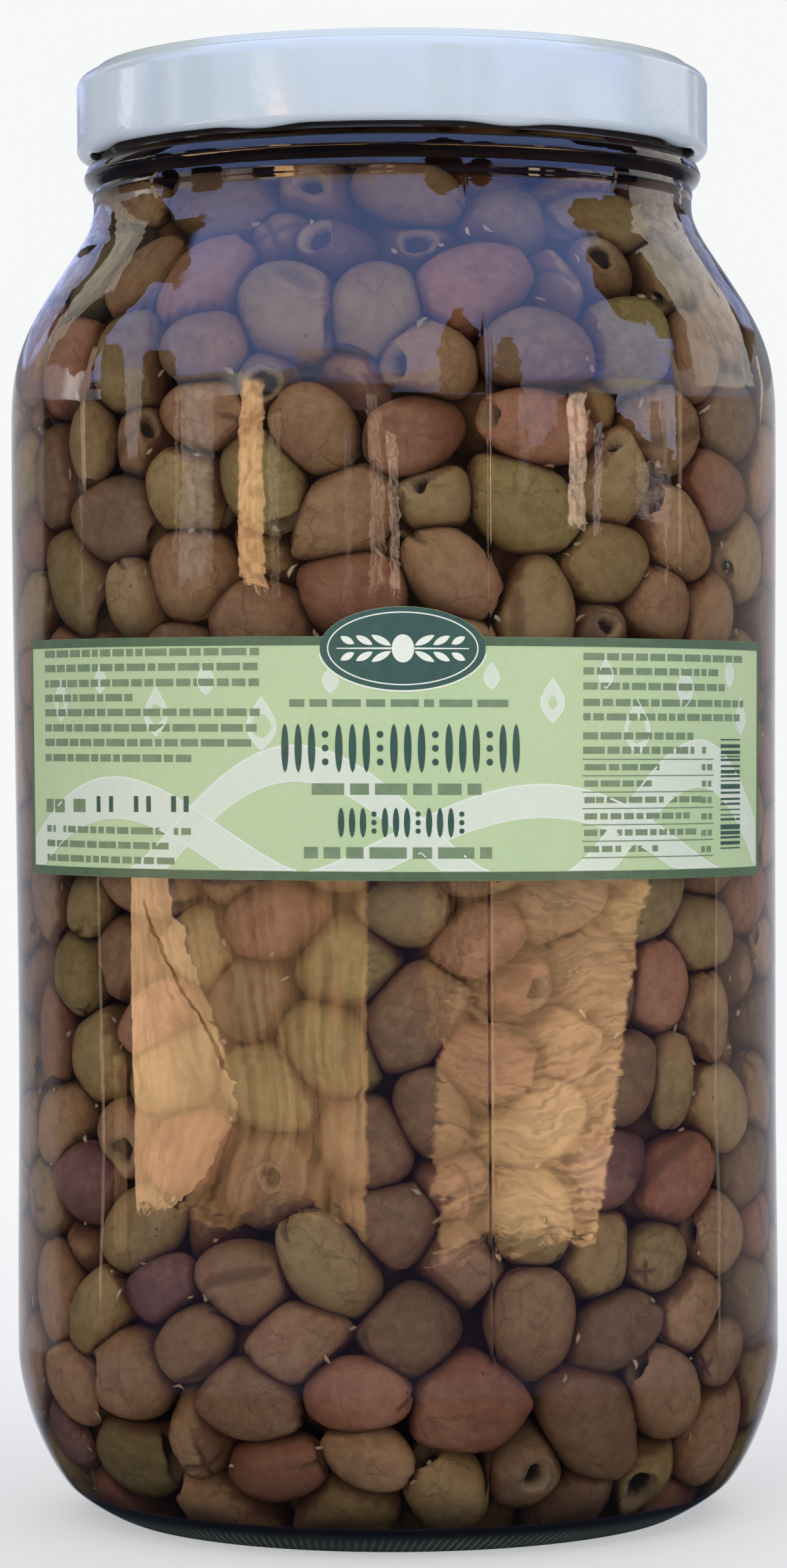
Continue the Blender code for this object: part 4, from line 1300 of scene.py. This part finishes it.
    for x, z, tall in ((-57, 145.5, 7.5), (-47, 149.0, 5.0), (-36, 143.5, 8.5), (-27.5, 149.0, 5.5), (-19, 141.5, 9.0), (22.5, 145.5, 7.5), (31, 150.0, 5.0), (36.5, 141.0, 9.5), (46, 148.0, 7.0), (57, 150.5, 5.0), (60.5, 143.0, 6.5), (-9, 148.8, 4.5), (13.5, 149.5, 4.5)):
        drop(x, z, tall)


# ---------------------------------------------------------------- stage, lights and surroundings
OUT_R, OUT_Z = zip(*[q for q in outside()[12:] if q[1] < 237.0])


def mirrored(x, y, far):
    """Where the ray of a photo pixel goes after the outside of the glass mirrors it, that many millimetres on."""
    ray = (CAM_TURN @ Vector(((x - IMAGE_W / 2) / FOCAL_PX, -(y - IMAGE_H / 2) / FOCAL_PX, -1.0))).normalized()
    at = Vector((CAM_X, -CAM_D, CAM_Z))
    if y > 640:
        r = WAIST_R + 0.3
        a = ray.x**2 + ray.y**2
        b = 2 * (at.x * ray.x + at.y * ray.y)
        c = at.x**2 + at.y**2 - r * r
        hit = at + ray * ((-b - math.sqrt(max(0.0, b * b - 4 * a * c))) / (2 * a))
        normal = Vector((hit.x, hit.y, 0)).normalized()
        return hit + (ray - 2 * ray.dot(normal) * normal) * far

    def clear_of(t):
        q = at + ray * t
        return math.hypot(q.x, q.y) - float(np.interp(q.z, OUT_Z, OUT_R))

    steps = np.arange(CAM_D - 74.0, CAM_D + 5.0, 3.0)
    gaps = [clear_of(t) for t in steps]
    inside_at = next((k for k, g in enumerate(gaps) if g < 0), None)
    if inside_at is None:
        t = float(steps[int(np.argmin(gaps))])
    else:
        lo, hi = float(steps[inside_at - 1]), float(steps[inside_at])
        for _ in range(12):
            t = (lo + hi) / 2
            lo, hi = (lo, t) if clear_of(t) < 0 else (t, hi)
    hit = at + ray * t
    lean = float(np.interp(hit.z + 0.6, OUT_Z, OUT_R) - np.interp(hit.z - 0.6, OUT_Z, OUT_R)) / 1.2
    rho = math.hypot(hit.x, hit.y)
    normal = Vector((hit.x / rho, hit.y / rho, -lean)).normalized()
    return hit + (ray - 2 * ray.dot(normal) * normal) * far


def reflection_card(name, corners, far, colour, strength, across, up, ragged=(0.06, 0.06, 0.05, 0.12), grain=(7.0, 1.2), cells=10, seed=0.0, lift=0.0, depth=0.45, jag=(0.0, 0.0)):
    """A card that only reflections see, bent so that the jar mirrors it in one place of the photo: inside four
    pixels (top left, top right, bottom right, bottom left), or between the ends of rows (y, left, right) from the
    top down, with edges that jitter by jag. across and up are brightness ramps over it."""
    n = Nodes(name)
    n.tree.nodes.remove(n.shader)
    spot = n.node("ShaderNodeAttribute", attribute_name="spot").outputs["Vector"]
    split = n.node("ShaderNodeSeparateXYZ", {0: spot})
    u, v = split.outputs[0], split.outputs[1]
    grain_map = n.node("ShaderNodeMapping", {"Vector": spot})
    grain_map.inputs["Scale"].default_value = (grain[0], grain[1], 1.0)
    grain_map.inputs["Location"].default_value = (seed, seed * 1.7, 0.0)
    rough = n.noise(grain_map, 3.0, 4.0, 0.6)
    light = n.ramp(rough, [(0.36, 1.0 - depth), (0.60, 1.0)])
    level = n.math("MULTIPLY", n.ramp(u, across), n.ramp(v, up))
    level = n.math("MULTIPLY", level, light)
    # uneven edges: left, right, top, bottom
    edge_map = n.node("ShaderNodeMapping", {"Vector": spot})
    edge_map.inputs["Scale"].default_value = (2.5, 16.0, 1.0)
    edge_map.inputs["Location"].default_value = (seed * 2.1, seed, 0.0)
    wander = n.math("SUBTRACT", n.noise(edge_map, 2.0, 4.0, 0.65), 0.5)
    mask = None
    for way, room in zip((u, n.math("SUBTRACT", 1.0, u), n.math("SUBTRACT", 1.0, v), v), ragged):
        inner = n.math("ADD", n.math("SUBTRACT", way, 0.01), n.math("MULTIPLY", n.math("SUBTRACT", wander, 0.25), room * 2.0))
        one = n.math("MULTIPLY", inner, 1.0 / (0.012 + room * 0.25), clamp=True)
        mask = one if mask is None else n.math("MULTIPLY", mask, one)
    emit = n.node("ShaderNodeEmission", {"Color": (*colour, 1.0), "Strength": n.math("MULTIPLY", level, strength)})
    clear = n.node("ShaderNodeBsdfTransparent")
    mixed = n.node("ShaderNodeMixShader")
    n.feed(mixed.inputs[0], mask)
    n.feed(mixed.inputs[1], clear)
    n.feed(mixed.inputs[2], emit)
    n.feed(n.out.inputs["Surface"], mixed)
    n.material.cycles.emission_sampling = "NONE"
    if len(corners[0]) == 2:
        (tl, tr, br, bl) = (np.array(c, float) for c in corners)
        corners = [(tl[1], tl[0], tr[0]), (br[1], bl[0], br[0])]
    heights, lefts, rights = np.array(corners, float).T
    tall = max(10, int((heights[-1] - heights[0]) / 7.0))
    y = np.linspace(heights[0], heights[-1], tall + 1)
    wild = np.random.default_rng(int(seed * 100) + 7)
    edges = []
    for ends, size in ((lefts, jag[0]), (rights, jag[1])):
        slow = np.interp(np.arange(tall + 1), np.arange(0, tall + 6, 5), wild.normal(size=len(np.arange(0, tall + 6, 5))))
        edges.append(np.interp(y, heights, ends) + size * (0.7 * wild.normal(size=tall + 1) + 0.6 * slow))
    verts, spots = [], []
    for i in range(tall + 1):
        for j in range(cells + 1):
            fu = j / cells
            fv = 1.0 - i / tall
            point = mirrored(edges[0][i] * (1 - fu) + edges[1][i] * fu, y[i], far)
            verts.append((point.x, point.y, point.z + lift * fv * fv))
            spots.append((fu, fv, 0.0))
    k = np.arange((tall + 1) * (cells + 1)).reshape(tall + 1, cells + 1)
    quads = np.column_stack([k[:-1, :-1].ravel(), k[:-1, 1:].ravel(), k[1:, 1:].ravel(), k[1:, :-1].ravel()])
    card = mesh_object(name, np.array(verts), [quads], n.material, smooth=False)
    attribute(card, "spot", np.array(spots), "FLOAT_VECTOR")
    card.visible_camera = False
    card.visible_diffuse = False
    card.visible_transmission = False
    card.visible_volume_scatter = False
    card.visible_shadow = False
    return card


def area_light(name, place, aim, size, power, colour, glossy=True):
    data = bpy.data.lights.new(name, "AREA")
    data.shape = "RECTANGLE"
    data.size, data.size_y = size[0] * MM, size[1] * MM
    data.energy = power
    data.color = colour
    light = bpy.data.objects.new(name, data)
    bpy.context.scene.collection.objects.link(light)
    way = Vector(aim) - Vector(place)
    light.matrix_world = Matrix.Translation(Vector(place) * MM) @ way.to_track_quat("-Z", "Y").to_matrix().to_4x4()
    light.visible_camera = False
    light.visible_glossy = glossy
    light.visible_transmission = False
    return light


def make_stage():
    # floor: a wide disc that fades into the background
    radii = np.array([0, 60, 120, 200, 300, 450, 700, 1100, 1700, 2600, 4000.0])
    verts, quads, tris, _ = revolve([(r, -0.05) for r in radii], np.linspace(0, 360, 96, endpoint=False))
    n = Nodes("floor")
    pos = n.coords()
    far = n.node("ShaderNodeVectorMath", {0: pos}, operation="LENGTH").outputs["Value"]
    n.link(n.ramp(n.noise(pos, 40.0, 3.0), [(0.3, (0.82, 0.82, 0.82)), (0.7, (0.84, 0.84, 0.835))]), "Base Color")
    n.set(Roughness=0.7)
    n.set(**{"Specular_IOR_Level": 0.1})
    glow = n.node("ShaderNodeEmission", {"Color": (*BACKGROUND, 1.0), "Strength": 1.0})
    path = n.node("ShaderNodeLightPath")
    blend = n.math("MULTIPLY", n.ramp(far, [(0.10, 0.45), (0.75, 1.0)]), path.outputs["Is Camera Ray"])
    mixed = n.node("ShaderNodeMixShader")
    n.feed(mixed.inputs[0], blend)
    n.feed(mixed.inputs[1], n.shader.outputs[0])
    n.feed(mixed.inputs[2], glow)
    n.feed(n.out.inputs["Surface"], mixed)
    n.material.cycles.emission_sampling = "NONE"
    floor = mesh_object("floor", verts, [quads[:, ::-1], tris[:, ::-1]], n.material)
    floor.visible_glossy = False
    floor.visible_transmission = False

    world = bpy.data.worlds.new("studio")
    bpy.context.scene.world = world
    world.use_nodes = True
    tree = world.node_tree
    tree.nodes.clear()
    w = Nodes.__new__(Nodes)
    w.tree = tree
    out = tree.nodes.new("ShaderNodeOutputWorld")
    way = w.node("ShaderNodeTexCoord").outputs["Generated"]
    split = w.node("ShaderNodeSeparateXYZ", {0: way})
    up, back = split.outputs[2], split.outputs[1]
    # what gloss and glass reflect: rings of light and dark round the jar, a bluish light above and dark below
    shake = w.noise(way, 5.0, 5.0, 0.62)
    shake = w.math("SUBTRACT", shake, 0.5)
    round_it = w.math("ARCTAN2", split.outputs[0], w.math("MULTIPLY", back, -1.0))
    plain = w.math("ADD", w.math("MULTIPLY", round_it, 0.5 / math.pi), 0.5)
    rough = w.math("ADD", plain, w.math("MULTIPLY", shake, 0.05))
    fine = w.math("SUBTRACT", w.noise(way, 17.0, 4.0, 0.65), 0.5)
    climb = w.math("ADD", w.math("ADD", up, w.math("MULTIPLY", shake, 0.14)), w.math("MULTIPLY", fine, 0.06))
    gloss = w.mix(w.ramp(w.math("ADD", up, 0.5), [(0.370, 0.0), (0.375, 1.0)]), w.ramp(plain, RING_GROUND), w.ramp(plain, RING_LOW))
    gloss = w.mix(w.ramp(w.math("ADD", up, 0.5), [(0.20, 1.0), (0.30, 0.0)]), gloss, (0.016, 0.018, 0.030))
    gloss = w.mix(w.ramp(w.math("ADD", up, 0.5), [(0.485, 0.0), (0.490, 1.0)]), gloss, w.ramp(plain, RING_HIGH))
    gloss = w.mix(w.ramp(w.math("ADD", up, 0.5), [(0.598, 0.0), (0.602, 1.0)]), gloss, w.ramp(plain, RING_LID))
    gloss = w.mix(w.ramp(climb, [(0.204, 0.0), (0.210, 1.0)]), gloss, w.ramp(rough, RING_SHOULDER))
    gloss = w.mix(w.ramp(climb, [(0.75, 0.0), (0.79, 1.0)]), gloss, GLOSS_ABOVE)
    rise = w.math("ADD", w.math("MULTIPLY", up, 0.5), 0.5)
    soft = w.ramp(rise, [(0.0, (0.40, 0.385, 0.37)), (0.5, (0.60, 0.59, 0.59)), (1.0, (0.93, 0.96, 1.0))])
    path = w.node("ShaderNodeLightPath")
    shown = w.mix(path.outputs["Is Glossy Ray"], soft, gloss)
    through = w.ramp(rise, [(0.40, (0.010, 0.014, 0.016)), (0.62, (0.16, 0.14, 0.13))])
    shown = w.mix(path.outputs["Is Transmission Ray"], shown, through)
    shown = w.mix(path.outputs["Is Camera Ray"], shown, BACKGROUND)
    strength = w.math("ADD", w.math("MULTIPLY", path.outputs["Is Diffuse Ray"], WORLD_DIFFUSE - 1.0), 1.0)
    surface = w.node("ShaderNodeBackground")
    w.feed(surface.inputs[0], shown)
    w.feed(surface.inputs[1], strength)
    w.feed(out.inputs[0], surface)
    return floor


BACKGROUND = (0.93, 0.935, 0.94)
GLOSS_ABOVE = (1.08, 1.52, 3.25)


def mirrored_place(x, r=68.7):
    """Where on an all-round ramp (0 and 1 behind, 0.5 in front) an upright wall of radius r mirrors at photo column x."""
    slant = math.atan((x - 600.0) / FOCAL_PX)
    off = max(-1.0, min(1.0, CAM_D * math.sin(slant) / r))
    return 0.5 + (2 * math.asin(off) - slant) / (2 * math.pi)


def ring(*stops, r=68.7):
    return [(mirrored_place(x, r), colour) for x, colour in stops]


DIM = (0.17, 0.14, 0.26)
DIM_HIGH = (0.13, 0.085, 0.07)
DARK = (0.045, 0.035, 0.05)
RING_HIGH = ring(
    (18, (0.70, 0.73, 0.80)), (30, (0.48, 0.46, 0.49)), (50, (0.47, 0.43, 0.43)), (66.5, (0.47, 0.41, 0.40)), (68.5, DARK),
    (110, DARK), (116, (0.20, 0.14, 0.11)), (136, (0.20, 0.15, 0.13)), (140, (0.12, 0.10, 0.09)), (184, (0.12, 0.10, 0.09)),
    (188, (0.26, 0.24, 0.23)), (212, (0.24, 0.22, 0.22)), (217, DIM_HIGH), (1034, DIM_HIGH), (1040, DARK), (1073, DARK),
    (1077, (0.30, 0.26, 0.26)), (1110, (0.42, 0.37, 0.36)), (1150, (0.44, 0.41, 0.42)), (1170, (0.55, 0.54, 0.58)), (1182, (0.70, 0.73, 0.80)),
)
RING_LOW = ring(
    (18, (0.70, 0.73, 0.83)), (36, (0.46, 0.46, 0.52)), (50, (0.38, 0.345, 0.375)), (72, (0.44, 0.38, 0.38)), (82, (0.26, 0.20, 0.20)),
    (87, DARK), (190, DARK), (210, DIM), (1000, DIM), (1086, DARK), (1091, (0.24, 0.19, 0.18)), (1100, (0.46, 0.39, 0.37)),
    (1122, (0.42, 0.36, 0.35)), (1140, (0.34, 0.31, 0.31)), (1160, (0.42, 0.40, 0.43)), (1175, (0.56, 0.58, 0.65)), (1182, (0.70, 0.73, 0.83)),
)
RING_GROUND = ring(
    (18, (0.65, 0.68, 0.78)), (34, (0.42, 0.43, 0.49)), (44, (0.13, 0.125, 0.16)), (56, (0.09, 0.09, 0.12)), (70, (0.045, 0.045, 0.085)),
    (120, (0.10, 0.085, 0.14)), (400, (0.30, 0.255, 0.40)), (900, (0.30, 0.255, 0.40)), (1118, (0.07, 0.065, 0.10)),
    (1132, (0.13, 0.115, 0.12)), (1148, (0.12, 0.11, 0.13)), (1164, (0.17, 0.17, 0.21)), (1173, (0.42, 0.43, 0.49)), (1182, (0.65, 0.68, 0.78)),
)
RING_LID = ring(
    (132, (0.30, 0.33, 0.40)), (165, (0.60, 0.62, 0.70)), (184, (0.8, 0.84, 0.95)), (192, (3.4, 3.3, 3.3)), (204, (3.2, 3.1, 3.1)),
    (212, (0.9, 0.9, 1.0)), (226, (0.9, 0.9, 1.0)), (234, (3.0, 2.9, 2.9)), (242, (0.9, 0.92, 1.0)), (380, (0.75, 0.8, 0.95)),
    (396, (3.0, 2.9, 2.8)), (414, (3.0, 2.9, 2.8)), (430, (0.7, 0.75, 0.9)), (560, (0.75, 0.85, 1.4)), (700, (1.2, 1.3, 1.9)),
    (850, (0.6, 0.68, 0.9)), (880, (2.1, 2.1, 2.3)), (925, (2.1, 2.1, 2.3)), (960, (0.7, 0.78, 1.0)), (1040, (0.45, 0.52, 0.68)), (1066, (0.28, 0.32, 0.42)), r=56.93,
)
RING_SHOULDER = [
    (0.0, (0.30, 0.32, 0.44)), (0.030, (0.22, 0.22, 0.30)), (0.060, DARK), (0.112, DARK),
    (0.120, (0.10, 0.09, 0.10)), (0.182, (0.10, 0.09, 0.09)), (0.190, DARK), (0.228, (0.035, 0.028, 0.03)), (0.234, (1.05, 1.46, 3.05)),
    (0.500, (1.08, 1.52, 3.25)), (0.764, (1.05, 1.46, 3.05)), (0.770, (0.035, 0.028, 0.03)), (0.812, DARK),
    (0.820, (0.10, 0.09, 0.09)), (0.888, (0.10, 0.09, 0.09)), (0.896, DARK), (0.950, DARK), (0.975, (0.22, 0.21, 0.26)), (1.0, (0.30, 0.32, 0.44)),
]
WORLD_DIFFUSE = 0.60


def make_lights():
    mid = (0, 0, 130)
    area_light("key", (-500, -950, 620), mid, (750, 750), 3.5, (1.0, 0.97, 0.94), glossy=False)
    area_light("fill", (700, -800, 260), mid, (800, 800), 3.0, (0.97, 0.98, 1.0), glossy=False)
    area_light("top", (0, -120, 900), (0, 0, 150), (700, 700), 2.0, (0.90, 0.94, 1.0), glossy=False)
    area_light("back", (150, 900, 520), mid, (700, 500), 3.0, (0.95, 0.97, 1.0), glossy=False)
    warm, tan, cream, grey = (1.0, 0.585, 0.30), (1.0, 0.56, 0.27), (1.0, 0.72, 0.52), (1.0, 0.86, 0.84)
    even = [(0.0, 1.0), (1.0, 1.0)]
    # low warm fields to both sides
    reflection_card(
        "card_low_left", [(1338, 197, 276), (1400, 197, 262), (1500, 197, 300), (1640, 198, 356), (1680, 199, 366), (1730, 200, 340), (1790, 203, 290), (1860, 208, 232)],
        520, warm, 10.8, [(0.0, 1.0), (0.6, 0.95), (1.0, 0.9)], [(0.0, 0.8), (0.5, 1.0), (1.0, 0.8)], (0.0, 0.03, 0.0, 0.10), (3.2, 2.2), seed=1.3, depth=0.34, jag=(0.8, 4.5),
    )
    reflection_card(
        "card_low_line", [(1403, 214, 219), (1450, 234, 240), (1500, 260, 266), (1560, 296, 302), (1610, 328, 334), (1655, 355, 361)],
        512, (0.9, 0.45, 0.2), 4.2, even, even, (0.0, 0.0, 0.0, 0.02), (1.0, 1.0), seed=8.8, depth=0.2, jag=(0.6, 0.6), cells=2,
    )
    reflection_card(
        "card_low_middle", [(1338, 262, 566), (1500, 290, 564), (1700, 330, 566), (1870, 240, 566)], 700, tan, 5.4,
        [(0.0, 0.75), (0.3, 0.62), (0.5, 0.8), (0.55, 0.62), (0.8, 0.9), (1.0, 1.0)], [(0.0, 0.75), (0.3, 1.25), (1.0, 0.8)], (0.0, 0.02, 0.0, 0.16), (7.0, 0.9), seed=4.1, depth=0.62, jag=(3.0, 2.0),
    )
    reflection_card(
        "card_low_right", [(1338, 770, 1002), (1440, 735, 986), (1520, 690, 975), (1600, 660, 964), (1750, 652, 936), (1890, 660, 905)],
        560, warm, 10.8, [(0.0, 0.55), (0.3, 0.62), (0.55, 0.8), (0.7, 1.0), (1.0, 1.0)], [(0.0, 0.85), (0.35, 1.0), (0.72, 0.75), (1.0, 0.55)],
        (0.05, 0.03, 0.0, 0.14), (1.3, 24.0), seed=2.2, depth=0.55, jag=(13.0, 4.0),
    )
    reflection_card(
        "card_low_right_dim", [(1338, 636, 770), (1500, 640, 735), (1620, 648, 700)], 600, warm, 2.6,
        [(0.0, 0.6), (1.0, 1.0)], [(0.0, 0.9), (1.0, 1.0)], (0.08, 0.02, 0.0, 0.10), (4.0, 2.0), seed=5.2, depth=0.85, jag=(7.0, 7.0),
    )
    # dark and pale patches along the lower limit of the light that the shoulder mirrors
    for name, rows, colour, jag in (
        ("shade_a", [(521, 160, 174), (540, 155, 183), (620, 152, 186), (790, 158, 184)], (0.05, 0.03, 0.06), (1.5, 1.5)),
        ("shade_b", [(533, 226, 262), (540, 214, 268), (606, 210, 270)], DARK, (2.5, 2.5)),
        ("shade_c", [(468, 694, 700), (500, 680, 716), (530, 668, 732), (600, 664, 738)], (0.06, 0.035, 0.03), (5.0, 5.0)),
        ("shade_d", [(512, 764, 771), (540, 752, 788), (600, 742, 802)], DARK, (4.0, 4.0)),
        ("shade_e", [(300, 878, 912), (324, 862, 920), (352, 884, 940), (380, 884, 968), (406, 900, 990), (440, 940, 1010), (470, 985, 1020)], DARK, (3.0, 1.0)),
        ("shade_f", [(250, 236, 262), (291, 238, 300), (324, 240, 304), (368, 240, 296), (410, 230, 288), (444, 196, 226), (508, 150, 166)], DARK, (1.0, 3.0)),
        ("pale_left", [(562, 184, 212), (640, 186, 211), (715, 194, 207)], (1.9, 1.8, 1.8), (1.0, 1.0)),
        ("pale_low_left", [(430, 232, 262), (470, 196, 262), (510, 166, 262), (545, 148, 262), (575, 138, 214), (600, 136, 212)], (1.05, 1.40, 2.9), (2.0, 1.0)),
        ("pale_wide_right", [(515, 800, 1034), (550, 790, 1034), (584, 788, 1034)], (1.02, 1.42, 3.4), (3.0, 1.0)),
        ("pale_mid_right", [(584, 788, 862), (620, 790, 856), (660, 792, 830), (700, 796, 812)], (1.15, 1.2, 1.7), (3.0, 6.0)),
        ("pale_right", [(584, 944, 1034), (640, 950, 1034), (690, 972, 1034), (722, 1004, 1031)], (2.2, 2.4, 3.2), (6.0, 1.0)),
        ("shade_g", [(606, 996, 1006), (640, 990, 1012), (735, 994, 1010)], (0.5, 0.5, 0.5), (2.0, 2.0)),
        ("pale_mid", [(532, 452, 566), (583, 442, 570)], (1.35, 1.45, 2.3), (1.5, 3.0)),
        ("rose_mid", [(584, 420, 604), (650, 430, 596)], (0.85, 0.52, 0.50), (4.0, 4.0)),
        ("pale_edge", [(574, 824, 890), (592, 820, 884)], (1.0, 1.05, 1.5), (6.0, 3.0)),
    ):
        far = {"shade_a": 2340, "shade_b": 2345, "pale_left": 2350, "pale_low_left": 2370}.get(name, 2400 if name[0] == "s" else 2650)
        reflection_card(name, rows, far, colour, 1.0, even, even, (0.0, 0.0, 0.0, 0.03 if name[0] == "s" else 0.12), (3.0, 3.0), seed=len(rows) + 0.37, depth=0.3, jag=jag)
    # bands that follow the shoulder's edge on both sides
    for name, rows, colour, low, jag in (
        ("grey_left", [(330, 190, 230), (367, 178, 214), (411, 147, 192), (452, 114, 152), (492, 85, 112), (541, 58, 76), (590, 47, 66)], (1.75, 1.72, 1.5), 0.36, (1.5, 2.5)),
        ("lilac_left", [(306, 152, 176), (340, 140, 170), (367, 127, 162), (411, 95, 140), (452, 70, 105), (492, 49, 78), (541, 39, 50), (570, 38, 46)], (1.05, 1.2, 1.95), 0.5, (0.0, 2.0)),
        ("grey_right", [(262, 960, 1026), (290, 958, 1020), (320, 958, 1026), (356, 967, 1046), (401, 996, 1068), (445, 1026, 1090), (490, 1053, 1117), (535, 1070, 1137), (600, 1076, 1152)], (2.0, 1.9, 1.8), 0.8, (2.5, 1.5)),
        ("lilac_right", [(322, 1034, 1046), (350, 1040, 1057), (378, 1054, 1072), (410, 1072, 1083), (470, 1104, 1110)], (0.7, 0.8, 1.3), 0.5, (1.0, 1.0)),
        ("line_right", [(540, 1150, 1154), (588, 1160, 1164), (640, 1158, 1161)], (1.6, 1.45, 1.3), 0.8, (0.4, 0.4)),
    ):
        reflection_card(name, rows, 2500, colour, 1.0, [(0.0, 0.9), (0.5, 1.0), (1.0, 0.9)], [(0.0, low), (1.0, 1.0)], (0.0, 0.0, 0.02, 0.03), (2.0, 4.0), seed=len(rows) + 0.11, depth=0.35, jag=jag, cells=6)
    # tall streaks beside the upper body
    for name, x0, x1, y0, y1, far, colour, strength, seed, depth in (
        ("card_streak_a", 368, 412, 570, 982, 1100, tan, 13.5, 0.4, 0.25),
        ("card_streak_aa", 414, 432, 640, 982, 1100, cream, 2.4, 1.9, 0.6),
        ("card_streak_b", 272, 334, 575, 982, 1100, grey, 2.7, 3.3, 0.4),
        ("card_streak_bb", 266, 275, 580, 900, 1100, cream, 2.6, 9.3, 0.6),
        ("card_streak_bc", 290, 318, 860, 982, 1100, cream, 1.6, 2.3, 0.6),
        ("card_streak_c", 556, 584, 590, 982, 1300, cream, 3.6, 5.5, 0.6),
        ("card_streak_cc", 588, 606, 660, 982, 1300, cream, 6.5, 4.5, 0.7),
        ("card_streak_ce", 520, 534, 700, 982, 1300, grey, 1.2, 8.5, 0.7),
        ("card_streak_d", 866, 894, 590, 864, 1200, cream, 11.5, 6.1, 0.35),
        ("card_streak_dd", 902, 920, 640, 870, 1200, grey, 4.0, 3.1, 0.7),
        ("card_streak_dc", 786, 806, 630, 800, 1200, grey, 1.3, 6.6, 0.7),
        ("card_streak_e", 962, 1030, 722, 830, 1200, grey, 2.3, 7.7, 0.6),
        ("card_streak_f", 122, 128, 700, 980, 1200, grey, 1.2, 7.1, 0.5),
        ("card_streak_g", 1012, 1018, 600, 960, 1200, cream, 2.4, 2.7, 0.5),
    ):
        reflection_card(
            name, ((x0, y0), (x1, y0), (x1, y1), (x0, y1)), far, colour, strength,
            [(0.0, 0.85), (0.38, 1.0), (0.46, 0.72), (0.60, 1.0), (1.0, 0.6)], even, (0.10, 0.12, 0.02, 0.10), (1.6, 7.0), seed=seed, depth=min(0.9, depth + 0.25), jag=(1.6, 2.2),
        )
    for name, x0, x1, y0, y1, far, colour, strength in (
        ("card_line_left", 127, 135, 565, 760, 1500, cream, 3.0),
        ("card_line_right", 1036, 1042, 560, 900, 1500, cream, 2.4),
        ("card_line_low", 1094, 1099, 1345, 2080, 1500, grey, 1.2),
        ("card_line_low_left", 148, 153, 1345, 2000, 1300, cream, 2.2),
        ("card_line_low_b", 166, 190, 1620, 1900, 1300, tan, 1.6),
    ):
        reflection_card(
            name, ((x0, y0), (x1, y0), (x1, y1), (x0, y1)), far, colour, strength,
            [(0.0, 0.8), (1.0, 1.0)], even, (0.1, 0.1, 0.02, 0.1), (1.0, 3.0), seed=x0 / 50,
            lift=260.0 if name in ("card_line_left", "card_line_right") else 0.0,
        )


make_jar()
make_foot_painted_shade()
make_oil()
make_core()
make_olives()
make_lid()
make_label()
make_stage()
make_lights()

scene = bpy.context.scene
scene.view_settings.view_transform = "Standard"
scene.view_settings.look = "None"
scene.cycles.caustics_refractive = False
scene.cycles.caustics_reflective = False
scene.cycles.max_bounces = 8
scene.cycles.transmission_bounces = 8
scene.cycles.transparent_max_bounces = 16
scene.cycles.glossy_bounces = 2
scene.cycles.diffuse_bounces = 2
scene.cycles.sample_clamp_indirect = 4.0

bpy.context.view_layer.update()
